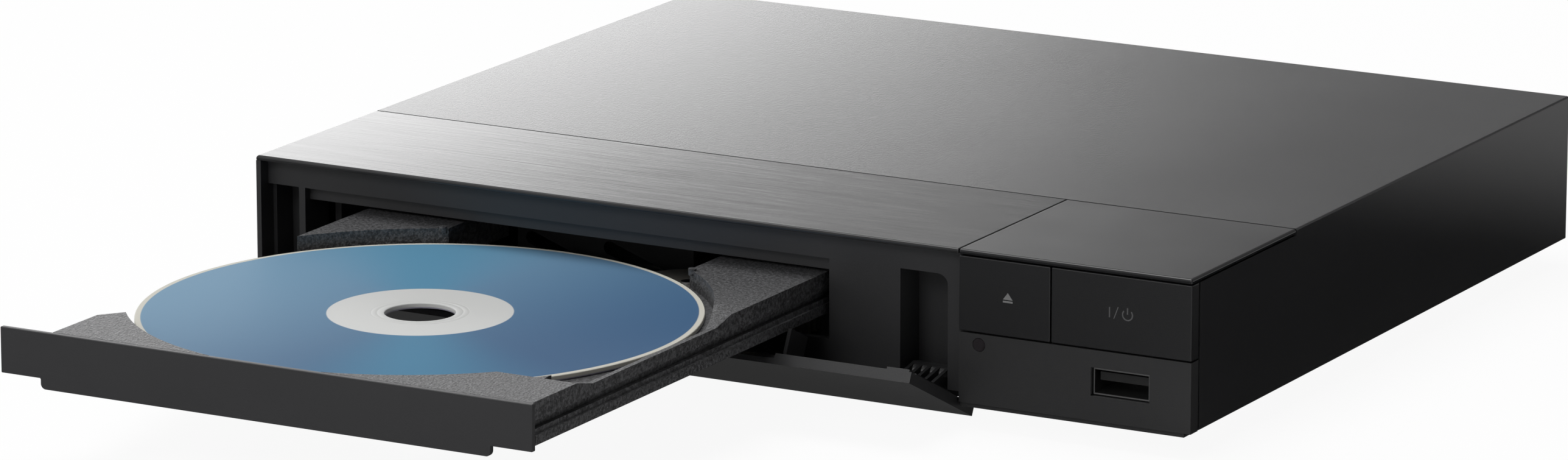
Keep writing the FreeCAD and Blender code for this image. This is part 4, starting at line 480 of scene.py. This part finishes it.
def mount(piece, node, material, name):
    """Dress and name a finished piece, and give it the body of a CAD node."""
    dress(piece, material)
    piece.name = piece.data.name = name
    record = frame["record"]
    bodies = record["behaviour"]["bodies"].items()
    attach(piece, next(body for body, members in bodies if node in members))
    return piece


def stand_in(piece, node, material, name):
    """Mount a finished piece in a node's place."""
    mount(piece, node, material, name)
    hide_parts(node)
    return piece


def eased(node, name, material, width, segments=2, plate=False):
    """A copy of a CAD node with its sharp edges rounded, in the node's place. Flats are
    joined first, but those of a plate with rows of holes only by pairs of triangles."""
    alone(NODES[node])
    bpy.ops.object.duplicate()
    piece = bpy.context.view_layer.objects.active
    piece.parent = None
    for key in [k for k in piece.keys() if k.startswith("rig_")]:
        del piece[key]

    def join_flats():
        if plate:
            bpy.ops.mesh.tris_convert_to_quads(face_threshold=SAME_PLANE, shape_threshold=math.pi)
        else:
            bpy.ops.mesh.dissolve_limited(angle_limit=SAME_PLANE)

    edit(piece, merge_doubles, join_flats)
    rounded(piece, width, segments)
    smooth(piece, 32.0)
    return stand_in(piece, node, material, name)


def finish_nodes(materials):
    """Give CAD nodes their finish in place."""
    for node, material in materials.items():
        dress(NODES[node], material)


def join_pieces(pieces):
    alone()
    for p in pieces:
        p.select_set(True)
    bpy.context.view_layer.objects.active = pieces[0]
    bpy.ops.object.join()
    return bpy.context.view_layer.objects.active


def block(low, high):
    """A blank between two corners."""
    low, high = Vector(low), Vector(high)
    bpy.ops.mesh.primitive_cube_add(size=1.0, location=(low + high) / 2)
    made = bpy.context.active_object
    made.scale = high - low
    return settle(made)


def sheet(x0, x1, z0, z1):
    """A flat blank that faces the front, at y = 0."""
    bpy.ops.mesh.primitive_plane_add(
        size=1.0, location=((x0 + x1) / 2, 0, (z0 + z1) / 2), rotation=(math.pi / 2, 0, 0))
    made = bpy.context.active_object
    made.scale = (x1 - x0, z1 - z0, 1.0)
    return settle(made)


def copies(piece, shifts):
    """The piece and its copies, each moved by its shift, as one mesh."""
    made = []
    for shift in shifts:
        alone(piece)
        bpy.ops.object.duplicate()
        copy = bpy.context.view_layer.objects.active
        copy.location = shift
        made.append(settle(copy))
    bpy.data.objects.remove(piece)
    return join_pieces(made)


def spun(section, at, steps, axis="Z"):
    """Spin the outline of a flat section, drawn beside the z axis, once round that axis,
    then move the piece to its place, with its axis along z or along y."""
    edit(
        section, select_all, lambda: bpy.ops.mesh.dissolve_faces(),
        lambda: bpy.ops.mesh.delete(type="ONLY_FACE"), select_all,
        lambda: bpy.ops.mesh.spin(steps=steps, angle=2 * math.pi, center=(0, 0, 0),
                                  axis=(0, 0, 1), use_auto_merge=True),
        merge_doubles, mend_normals,
    )
    if axis == "Y":
        section.rotation_euler = (-math.pi / 2, 0, 0)
    section.location = at
    return settle(section)


# Operators


class DISCPLAYER_OT_stage(Operator):
    """Camera, floor, lamps and world"""

    bl_idname = "discplayer.stage"
    bl_label = "Stage"

    # Where the camera looks, from which way, and from how far
    target = Vector((-0.86, -6.14, 28.25)) * MM
    azimuth, elevation = math.radians(29.03), math.radians(13.89)
    distance = 1.7483
    sensor_width = 36.0
    nearest, farthest = 0.05, 30.0
    floor_size = 8.0

    # Each lamp's place, width and height, power in watts, and the shares of its width and
    # height over which its light fades; the last one is its roll in degrees
    lamps = {
        "rear_softbox": ((-1.50, 1.95, 0.34), (2.6, 0.75), 15.5, (0.35, 0.12), 25.5),
        "overhead_softbox": ((-0.3, 0.1, 1.8), (1.6, 1.6), 43.0, (0.3, 0.3), 0.0),
        "front_softbox": ((-0.25, -1.68, 1.20), (1.1, 0.9), 16.0, (0.3, 0.3), 0.0),
        "low_softbox": ((-0.15, -2.0, 0.22), (1.2, 0.35), 3.0, (0.3, 0.3), 0.0),
    }

    def execute(self, context):
        settings = look("player_stage")
        scene = context.scene
        scene.view_settings.view_transform = "Standard"
        self.camera(scene, settings.lens)
        bpy.ops.mesh.primitive_plane_add(size=self.floor_size, location=(0, 0, 0))
        floor = context.active_object
        floor.name = "floor"
        dress(floor, self.floor_material(settings.floor))
        for name, lamp in self.lamps.items():
            self.softbox(name, *lamp)
        self.world(scene)
        return {"FINISHED"}

    def camera(self, scene, lens):
        flat = math.cos(self.elevation)
        back = Vector((math.sin(self.azimuth) * flat, -math.cos(self.azimuth) * flat,
                       math.sin(self.elevation)))
        bpy.ops.object.camera_add(location=self.target + back * self.distance,
                                  rotation=(-back).to_track_quat("-Z", "Y").to_euler())
        scene.camera = bpy.context.active_object
        data = scene.camera.data
        data.lens, data.sensor_width = lens, self.sensor_width
        data.clip_start, data.clip_end = self.nearest, self.farthest

    def floor_material(self, base):
        """Pale floor. The camera sees it white with the object's shadow. Polished and clear
        surfaces see a glow painted on it instead: pale far off and behind the object, a painted
        shadow that greys it close to the object, and a painted highlight, a pale patch beside its
        front right corner."""
        f = Finish("stage_floor", base, roughness=0.9, Specular_IOR_Level=0.1)
        lit = Value(f, f.shader.outputs["BSDF"])
        white = f.node("ShaderNodeEmission", {}, {"Strength": 1.0})
        x, y, _ = f.axes(f.place())
        # Painted shadow: reflections see the floor grey close to the object, and darker still to
        # its right
        painted_shade_close = 0.10 - 0.09 * x.step(0.06, 0.15)
        behind = 0.45 * y.step(0.15, 0.30)
        # Painted highlight: a pale patch beside the front right corner, seen only in reflections,
        # that makes the edges facing it shine
        corner = 0.7 * x.step(0.08, 0.13) * (1 - y.step(-0.07, -0.045))
        far = 0.8 * ((x * x + y * y) ** 0.5).step(0.35, 1.2)
        pale = f.node("ShaderNodeEmission", {}, {"Strength": painted_shade_close + behind + corner + far})
        whitened = 0.93  # share of the camera's view that is plain white; the rest is lit
        seen = f.blend(f.ray("Camera") * whitened, lit, white)
        shown = f.blend(f.ray("Glossy") + f.ray("Transmission"), seen, pale)
        f.feed(f.out.inputs["Surface"], shown)
        return f.material

    def softbox(self, name, at, size, power, fades, roll):
        """A lamp turned to the object, rolled in its own plane, and dimmer at its edges."""
        bpy.ops.object.light_add(type="AREA", location=at)
        lamp = bpy.context.active_object
        lamp.name = name
        aim = (-Vector(at)).to_track_quat("-Z", "Y")
        lamp.rotation_euler = (aim @ Quaternion((0, 0, 1), math.radians(roll))).to_euler()
        light = lamp.data
        light.shape = "RECTANGLE"
        light.size, light.size_y = size
        light.energy = power
        light.use_nodes = True
        n = Nodes(light.node_tree)
        across, up, _ = n.axes(n.node("ShaderNodeNewGeometry", out="Parametric"))
        wide, high = fades
        fade = across.step(0.0, wide) * (1 - across).step(0.0, wide)
        fade = fade * up.step(0.0, high) * (1 - up).step(0.0, high)
        glow = n.node("ShaderNodeEmission", {}, {"Strength": fade})
        n.node("ShaderNodeOutputLight", {}, {"Surface": glow})

    def world(self, scene):
        """A soft light that fades from the left to the right. The camera sees it white,
        and polished and clear surfaces see a pale wall at the left that greys to the right."""
        world = bpy.data.worlds.new("studio")
        scene.world = world
        world.use_nodes = True
        n = Nodes(world.node_tree)
        x, _, _ = n.axes(n.node("ShaderNodeTexCoord", out="Generated"))
        light = n.node("ShaderNodeMapRange", {}, {
            "Value": x, "From Min": -0.75, "From Max": 0.35, "To Min": 0.75, "To Max": 0.07})
        left_wall = 0.46 * (1 - x.step(-0.48, -0.41)) + 0.4 * (1 - x.step(-0.90, -0.55))
        soft = n.node("ShaderNodeBackground", {}, {"Strength": light})
        wall = n.node("ShaderNodeBackground", {}, {"Strength": 0.28 + left_wall})
        white = n.node("ShaderNodeBackground", {}, {"Color": (1, 1, 1, 1), "Strength": 1.0})
        unseen = n.blend(n.ray("Glossy") + n.ray("Transmission"), soft, wall)
        n.node("ShaderNodeOutputWorld", {}, {"Surface": n.blend(n.ray("Camera"), unseen, white)})


class DISCPLAYER_OT_case(Operator):
    """Cover, rear panel, floor, feet and screws"""

    bl_idname = "discplayer.case"
    bl_label = "Case"

    cut_edge = 0.15 * MM

    def execute(self, context):
        settings = look("player_case")
        cover = satin_paint("cover_satin", settings.paint)
        eased("top_cover", "cover_shell", cover, settings.edge, segments=3)
        rear = satin_paint("rear_satin", settings.paint)
        eased("rear_panel", "rear_wall", rear, self.cut_edge, plate=True)
        zinc = bare_metal("zinc_plate", (0.56, 0.56, 0.55), rough=0.34)
        eased("bottom_chassis", "base_pan", zinc, self.cut_edge, segments=1)
        finish_nodes({
            "rubber_feet": rubber("foot_rubber", (0.014, 0.014, 0.014)),
            "cover_screws": bare_metal("screw_black", (0.10, 0.10, 0.105), rough=0.32),
        })
        return {"FINISHED"}


class DISCPLAYER_OT_front(Operator):
    """Brushed strip, cap, frame, keys, lower panel, symbols and front socket"""

    bl_idname = "discplayer.front"
    bl_label = "Front"

    strip_edge, cap_edge, frame_edge = 0.2 * MM, 0.25 * MM, 0.3 * MM
    ink_depth = 0.02 * MM
    # Each symbol's place, to the right of its key's upper left corner and below it
    eject_at, power_at = (11.55 * MM, 8.1 * MM), (13.65 * MM, 7.9 * MM)

    def execute(self, context):
        case, front = look("player_case"), look("player_front")
        film = hairline("hairline_film", case.trim)
        eased("top_trim", "brushed_strip", film, self.strip_edge)
        gloss = polished("piano_black", front.gloss, rough=0.12)
        eased("control_cap", "gloss_cap", gloss, self.cap_edge, segments=3)
        keys = moulded("key_satin", front.keys, rough=0.40)
        eased("eject_button", "eject_key", keys, front.edge)
        eased("power_button", "power_key", keys, front.edge)
        panel = moulded("panel_satin", front.panel, rough=0.40)
        eased("lower_panel", "socket_panel", panel, front.edge)
        recess = moulded("frame_satin", front.recess, rough=0.42)
        eased("front_frame", "recessed_frame", recess, self.frame_edge)
        finish_nodes({
            "remote_window": polished("window_tint", (0.017, 0.014, 0.016), coat=0.5),
            "remote_receiver": moulded("receiver_black", (0.01, 0.01, 0.01)),
            "front_port_shell": bare_metal("port_plate", (0.34, 0.34, 0.34), rough=0.30),
            "front_port_tongue": moulded("port_tongue", (0.012, 0.012, 0.012), rough=0.45),
        })
        self.eject_symbol(moulded("bright_ink", front.bright_ink, rough=0.6))
        self.power_symbol(moulded("dim_ink", front.dim_ink, rough=0.6))
        self.contacts()
        return {"FINISHED"}

    def lay(self, flats, ink, key, name):
        """Give the flat marks their thickness and lay them on a key's face."""
        piece = join_pieces(flats)
        edit(
            piece, select_all,
            lambda: bpy.ops.mesh.extrude_region_move(
                TRANSFORM_OT_translate={"value": (0, -self.ink_depth, 0)}),
            mend_normals,
        )
        piece.location.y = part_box(key)[0].y
        mount(settle(piece), key, ink, name)

    def on_key(self, key, place):
        """The x and z of a symbol's middle on its key."""
        low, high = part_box(key)
        right, down = place
        return low.x + right, high.z - down

    def eject_symbol(self, ink):
        """A triangle over a bar."""
        x, z = self.on_key("eject_button", self.eject_at)
        half_width, tip, foot = 1.15 * MM, 1.3 * MM, -0.2 * MM
        bar_top, bar_bottom = -0.45 * MM, -0.85 * MM
        triangle = sheet(x - half_width, x + half_width, z + foot, z + tip)
        picked(triangle, "VERT", lambda co: co.z > z, lambda: bpy.ops.mesh.merge(type="CENTER"))
        bar = sheet(x - half_width, x + half_width, z + bar_bottom, z + bar_top)
        self.lay([triangle, bar], ink, "eject_button", "eject_symbol")

    def power_symbol(self, ink):
        """A line, a slanted stroke, and a ring open at the top round a bar."""
        x, z = self.on_key("power_button", self.power_at)
        half_line, half_height = 0.14 * MM, 1.1 * MM
        line = sheet(x - half_line, x + half_line, z - half_height, z + half_height)

        left, stroke_width, half_stroke, slant = x + 0.9 * MM, 0.23 * MM, 1.3 * MM, 1.0 * MM
        stroke = sheet(left, left + stroke_width, z - half_stroke, z + half_stroke)
        picked(stroke, "VERT", lambda co: co.z > z,
               lambda: bpy.ops.transform.translate(value=(slant, 0, 0)))

        ring_x, ring_z, radius = x + 4.2 * MM, z - 0.15 * MM, 1.15 * MM
        inner, outer, opening = radius - half_line, radius + half_line, 0.79 * radius
        bpy.ops.mesh.primitive_circle_add(
            vertices=60, radius=outer, location=(ring_x, 0, ring_z), rotation=(math.pi / 2, 0, 0))
        ring = settle(bpy.context.active_object)
        picked(ring, "VERT", lambda co: co.z - ring_z > opening,
               lambda: bpy.ops.mesh.delete(type="VERT"))
        edit(
            ring, select_all, lambda: bpy.ops.mesh.extrude_edges_move(),
            lambda: bpy.ops.transform.resize(value=(inner / outer, 1, inner / outer),
                                             center_override=(ring_x, 0, ring_z)),
        )
        bar_foot, bar_tip = ring_z + 0.1 * MM, ring_z + 1.5 * MM
        bar = sheet(ring_x - half_line, ring_x + half_line, bar_foot, bar_tip)
        self.lay([line, stroke, ring, bar], ink, "power_button", "power_symbol")

    def contacts(self):
        """Four gold strips under the tongue of the front socket."""
        low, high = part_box("front_port_tongue")
        x, z, front = (low.x + high.x) / 2, high.z - 1.9 * MM, low.y + 0.6 * MM
        half_width, half_depth, reach = 0.5 * MM, 0.06 * MM, 6.0 * MM
        near, far = 1.0 * MM, 3.5 * MM  # strips' distances from the middle
        strip = block((x - half_width, front, z - half_depth),
                      (x + half_width, front + reach, z + half_depth))
        rounded(strip, width=0.04 * MM)
        strips = copies(strip, [(shift, 0, 0) for shift in (-far, -near, near, far)])
        gold = bare_metal("gold_plate", GOLD, rough=0.22)
        mount(strips, "front_port_shell", gold, "port_contacts")


class DISCPLAYER_OT_flap(Operator):
    """Drop-down flap with its pins and spring"""

    bl_idname = "discplayer.flap"
    bl_label = "Flap"

    leaf_edge = 0.18 * MM

    def execute(self, context):
        settings = look("player_tray")
        satin = moulded("flap_satin", settings.flap, rough=0.34)
        eased("flap_door", "flap_leaf", satin, self.leaf_edge)
        steel = bare_metal("ground_steel", (0.62, 0.62, 0.62), rough=0.2)
        finish_nodes({"flap_pins": steel, "flap_spring": steel})
        return {"FINISHED"}


class DISCPLAYER_OT_tray(Operator):
    """Tray and its front plate"""

    bl_idname = "discplayer.tray"
    bl_label = "Tray"

    def execute(self, context):
        settings = look("player_tray")
        sparkle = sparkle_texture("tray_sparkle", settings.moulding)
        eased("tray", "tray_moulding", sparkle, settings.edge)
        satin = moulded("plate_satin", settings.plate, rough=0.42)
        eased("tray_bezel", "tray_plate", satin, settings.edge)
        return {"FINISHED"}


class DISCPLAYER_OT_disc(Operator):
    """Disc with its hub, print and bare rim"""

    bl_idname = "discplayer.disc"
    bl_label = "Disc"

    hole, edge, thick, corner = 7.5 * MM, 60.0 * MM, 1.2 * MM, 0.25 * MM
    hub_edge, print_edge, soft_edge = 19.6 * MM, 58.6 * MM, 0.3 * MM
    # Each groove's inner and outer radius and its depth, in millimetres
    grooves = ((8.9, 9.3, 0.04), (10.2, 10.6, 0.04), (58.3, 58.6, 0.03))
    # Directions on the print: towards its painted shade, and across its painted highlight
    deep_way, sweep_way = (0.94, -0.34), (0.866, 0.5)
    # The mirrored underside's colour, and where it ends, from the disc's middle height
    mirror, mirror_top = (0.34, 0.33, 0.40, 1.0), -0.25 * MM

    def execute(self, context):
        low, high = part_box("disc")
        centre = (low + high) / 2
        piece = self.pressed((centre.x, centre.y, low.z))
        stand_in(piece, "disc", self.face(centre), "disc_printed")
        return {"FINISHED"}

    def pressed(self, at):
        """The disc's section, grooved and with rounded corners, spun round its axis."""
        section = sheet(self.hole, self.edge, 0.0, self.thick)

        def cut(r):
            return lambda: bpy.ops.mesh.bisect(plane_co=(r, 0, 0), plane_no=(1, 0, 0))

        for inner, outer, depth in self.grooves:
            a, b = inner * MM, outer * MM
            slope = (b - a) / 3
            for r in (a, a + slope, b - slope, b):
                edit(section, select_all, cut(r))
            picked(
                section, "VERT",
                lambda co: co.z > self.thick / 2 and a + slope / 2 < co.x < b - slope / 2,
                lambda: bpy.ops.transform.translate(value=(0, 0, -depth * MM)),
            )
        picked(
            section, "VERT",
            lambda co: co.x < self.hole + SAME_PLACE or co.x > self.edge - SAME_PLACE,
            lambda: bpy.ops.mesh.bevel(offset=self.corner, segments=3, affect="VERTICES"),
        )
        return smooth(spun(section, at, steps=180), 30.0)

    def face(self, centre):
        """White hub, blue print with painted shade that darkens it to the right and a painted
        highlight that lays a paler band across it, and bare rim. The underside is mirrored between
        hub and rim."""
        tint = look("player_disc")
        f = Finish("disc_print", tint.left, Specular_IOR_Level=0.1)
        x, y, z = f.axes(f.place(shift=(-centre.x, -centre.y, -centre.z)))
        r = (x * x + y * y) ** 0.5
        cloud = f.noise(f.place(), 20.0, 2.0)

        def along(way):
            return way[0] * x + way[1] * y

        # Painted shade darkens the print towards the right, and a painted highlight lays a paler
        # band across it through its middle
        deep = along(self.deep_way).step(-58 * MM, 50 * MM)
        soft_middle = 4 * MM
        beside_painted_highlight = along(self.sweep_way).size() / (r + soft_middle)
        sweep = (1 - beside_painted_highlight.step(0.02, 0.55)) * (0.45 + 0.3 * cloud)
        blue = f.mix(sweep, f.mix(deep, tint.left, tint.right), tint.sweep)
        hub = f.mix(cloud, shade(tint.hub, 0.97), shade(tint.hub, 1.03))
        printed = r.step(self.hub_edge, self.hub_edge + self.soft_edge)
        bare = r.step(self.print_edge, self.print_edge + self.soft_edge)
        upper = z.above(self.mirror_top)
        top = f.mix(bare, f.mix(printed, hub, blue), tint.rim)
        f.set("Base Color", f.mix(upper, self.mirror, top))
        f.set("Metallic", (1 - upper) * printed * (1 - bare))
        f.set("Roughness", 0.52 + 0.06 * cloud - 0.22 * (1 - printed))
        return f.material


class DISCPLAYER_OT_loader(Operator):
    """Loader, its drive, the traverse and the clamp"""

    bl_idname = "discplayer.loader"
    bl_label = "Loader"

    base_edge = 0.2 * MM

    def execute(self, context):
        black = moulded("loader_black", (0.030, 0.030, 0.031), rough=0.5)
        eased("loader_chassis", "loader_base", black, self.base_edge, plate=True)
        resin = moulded("gear_resin", (0.62, 0.60, 0.54), rough=0.38, Subsurface_Weight=0.15,
                        Subsurface_Radius=(2.0 * MM, 1.5 * MM, 1.0 * MM))
        zinc = bare_metal("traverse_zinc", (0.55, 0.55, 0.54), rough=0.32)
        steel = bare_metal("rod_steel", (0.66, 0.66, 0.66), rough=0.16)
        can = bare_metal("motor_can", (0.50, 0.50, 0.51), rough=0.28)
        finish_nodes({
            "damper_bushings": rubber("damper_rubber", (0.05, 0.02, 0.015)),
            "loader_screws": bare_metal("loader_screw", (0.35, 0.35, 0.36), rough=0.3),
            "gear_axles": steel, "guide_rods": steel, "lead_screw": steel,
            "tray_gear": resin, "pulley_gear": resin, "motor_pulley": resin,
            "cam_slider": moulded("cam_resin", (0.036, 0.036, 0.037), rough=0.42),
            "drive_belt": rubber("belt_rubber", (0.02, 0.02, 0.02)),
            "loading_motor": can, "spindle_motor": can, "feed_motor": can,
            "traverse_base": zinc, "clamper_bridge": zinc,
            "turntable": moulded("table_black", (0.03, 0.03, 0.03), rough=0.5),
            "pickup_sled": bare_metal("die_cast", (0.38, 0.38, 0.39), rough=0.42),
            "objective_lens": polished("lens_coat", (0.06, 0.09, 0.28), rough=0.05, coat=0.6),
            "clamper_puck": moulded("puck_grey", (0.05, 0.05, 0.05), rough=0.45),
            "clamp_magnet": bare_metal("magnet_plate", (0.3, 0.3, 0.31), rough=0.4),
        })
        return {"FINISHED"}


class DISCPLAYER_OT_boards(Operator):
    """Boards, chips, sockets and flat cables"""

    bl_idname = "discplayer.boards"
    bl_label = "Boards"

    # Each tube's node, name, inner and outer radius, length, height of its axis over the
    # node's foot, and gap behind the node's end, in millimetres
    tubes = (
        ("audio_jack", "audio_sleeve", (2.62, 3.28), 5.6, 7.5, 0.05),
        ("power_inlet", "inlet_tube", (0.92, 1.20), 7.0, 5.6, 0.9),
    )

    def execute(self, context):
        mask = circuit("solder_mask", (0.012, 0.055, 0.028, 1))
        chip = moulded("chip_epoxy", (0.012, 0.012, 0.012), rough=0.55)
        white = moulded("ribbon_white", (0.55, 0.55, 0.52), rough=0.5)
        finish_nodes({
            "main_board": mask, "front_board": mask, "board_chips": chip, "tact_switches": chip,
            "heatsink": bare_metal("anodised_black", (0.05, 0.05, 0.052), rough=0.45),
            "capacitors": moulded("capacitor_sleeve", (0.02, 0.025, 0.06), rough=0.3),
            "board_screws": bare_metal("board_screw", (0.42, 0.42, 0.43), rough=0.3),
            "network_port": moulded("network_black", (0.015, 0.015, 0.015), rough=0.42),
            "audio_jack": moulded("audio_orange", (0.60, 0.14, 0.02), rough=0.4),
            "power_inlet": moulded("inlet_black", (0.014, 0.014, 0.014), rough=0.4),
            "radio_module": bare_metal("shield_can", (0.58, 0.58, 0.58), rough=0.3),
            "loader_ribbon": white, "front_ribbon": white,
        })
        self.plate = bare_metal("socket_nickel", (0.60, 0.60, 0.59), rough=0.24)
        self.gold = bare_metal("contact_gold", GOLD, rough=0.22)
        self.video_socket()
        self.network_contacts()
        self.round_metal()
        return {"FINISHED"}

    def video_socket(self):
        """Flat shell with its two lower corners cut off, and the tongue in its mouth."""
        low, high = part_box("video_port")
        cut_corner, wall, mouth_depth = 1.7 * MM, 0.4 * MM, 9.0 * MM
        shell = block(low, high)
        picked(
            shell, "EDGE",
            lambda a, b: abs(a.y - b.y) > mouth_depth and max(a.z, b.z) < low.z + SAME_PLACE,
            lambda: bpy.ops.mesh.bevel(offset=cut_corner, segments=1, affect="EDGES"),
        )
        picked(
            shell, "FACE", lambda middle, normal: normal.y > 0.9,
            lambda: bpy.ops.mesh.inset(thickness=wall),
            lambda: bpy.ops.mesh.extrude_region_move(
                TRANSFORM_OT_translate={"value": (0, -mouth_depth, 0)}),
        )
        rounded(shell, width=0.1 * MM)
        smooth(shell)
        stand_in(shell, "video_port", self.plate, "video_socket")

        middle, half_tongue, side_gap = (low.z + high.z) / 2 + 0.35 * MM, 0.5 * MM, 2.2 * MM
        root, tip = high.y - 10.0 * MM, high.y - 1.2 * MM
        tongue = block((low.x + side_gap, root, middle - half_tongue),
                       (high.x - side_gap, tip, middle + half_tongue))
        rounded(tongue, width=0.15 * MM)
        black = moulded("tongue_black", (0.012, 0.012, 0.012), rough=0.45)
        mount(tongue, "video_port", black, "video_tongue")

        left, width, length = low.x + 3.0 * MM, 0.5 * MM, 5.4 * MM
        top, thick, front = middle - 0.46 * MM, 0.1 * MM, tip - 0.4 * MM
        strip = block((left, front - length, top - thick), (left + width, front, top))
        rounded(strip, width=0.03 * MM, segments=1)
        self.contacts(strip, 10, 0.96 * MM, "video_port", "video_contacts")

    def network_contacts(self):
        """Eight sprung wires that slope down into the socket's bay."""
        low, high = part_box("network_port")
        count, pitch, half_width, half_thick = 8, 1.02 * MM, 0.17 * MM, 0.15 * MM
        drop, root, tip = 3.2 * MM, high.y - 12.0 * MM, high.y - 2.0 * MM
        x, z = (low.x + high.x - (count - 1) * pitch) / 2, low.z + 10.7 * MM
        wire = block((x - half_width, root, z - half_thick), (x + half_width, tip, z + half_thick))
        picked(wire, "VERT", lambda co: co.y < (root + tip) / 2,
               lambda: bpy.ops.transform.translate(value=(0, 0, -drop)))
        rounded(wire, width=0.08 * MM, segments=1)
        self.contacts(wire, count, pitch, "network_port", "network_contacts")

    def contacts(self, first, count, pitch, node, name):
        """A row of like contacts from the first one to the right, for a node's socket."""
        row = copies(first, [(i * pitch, 0, 0) for i in range(count)])
        mount(row, node, self.gold, name)

    def round_metal(self):
        """Sleeve in the audio socket's groove, and the tube on the power inlet's pin."""
        for node, name, radii, length, height, gap in self.tubes:
            low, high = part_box(node)
            inner, outer = radii
            section = sheet(inner * MM, outer * MM, 0.0, length * MM)
            edit(section, select_all,
                 lambda: bpy.ops.mesh.bevel(offset=0.08 * MM, segments=2, affect="VERTICES"))
            place = ((low.x + high.x) / 2, high.y - (gap + length) * MM, low.z + height * MM)
            tube = smooth(spun(section, place, steps=64, axis="Y"))
            mount(tube, node, self.plate, name)


class DISCPLAYER_PT_panel(Panel):
    """Lists the operators and their settings"""

    bl_label = "Disc Player"
    bl_idname = "DISCPLAYER_PT_panel"
    bl_space_type = "VIEW_3D"
    bl_region_type = "UI"
    bl_category = "Disc Player"

    def draw(self, context):
        for step in STEPS:
            self.layout.operator(step.bl_idname)
        for name, kind in SETTINGS.items():
            box = self.layout.box()
            for prop in kind.__annotations__:
                box.prop(getattr(context.scene, name), prop)


SETTINGS = {
    "player_case": CaseLook,
    "player_front": FrontLook,
    "player_tray": TrayLook,
    "player_disc": DiscLook,
    "player_stage": StageLook,
}
STEPS = (
    DISCPLAYER_OT_stage,
    DISCPLAYER_OT_case,
    DISCPLAYER_OT_front,
    DISCPLAYER_OT_flap,
    DISCPLAYER_OT_tray,
    DISCPLAYER_OT_disc,
    DISCPLAYER_OT_loader,
    DISCPLAYER_OT_boards,
)


def register():
    for kind in (*SETTINGS.values(), *STEPS, DISCPLAYER_PT_panel):
        bpy.utils.register_class(kind)
    for name, kind in SETTINGS.items():
        setattr(bpy.types.Scene, name, PointerProperty(type=kind))


def unregister():
    for name in SETTINGS:
        delattr(bpy.types.Scene, name)
    for kind in reversed((*SETTINGS.values(), *STEPS, DISCPLAYER_PT_panel)):
        bpy.utils.unregister_class(kind)


def main():
    register()
    for step in STEPS:
        group, name = step.bl_idname.split(".")
        if getattr(getattr(bpy.ops, group), name)() != {"FINISHED"}:
            raise RuntimeError(f"{step.bl_label} did not finish")


if __name__ == "__main__":
    main()
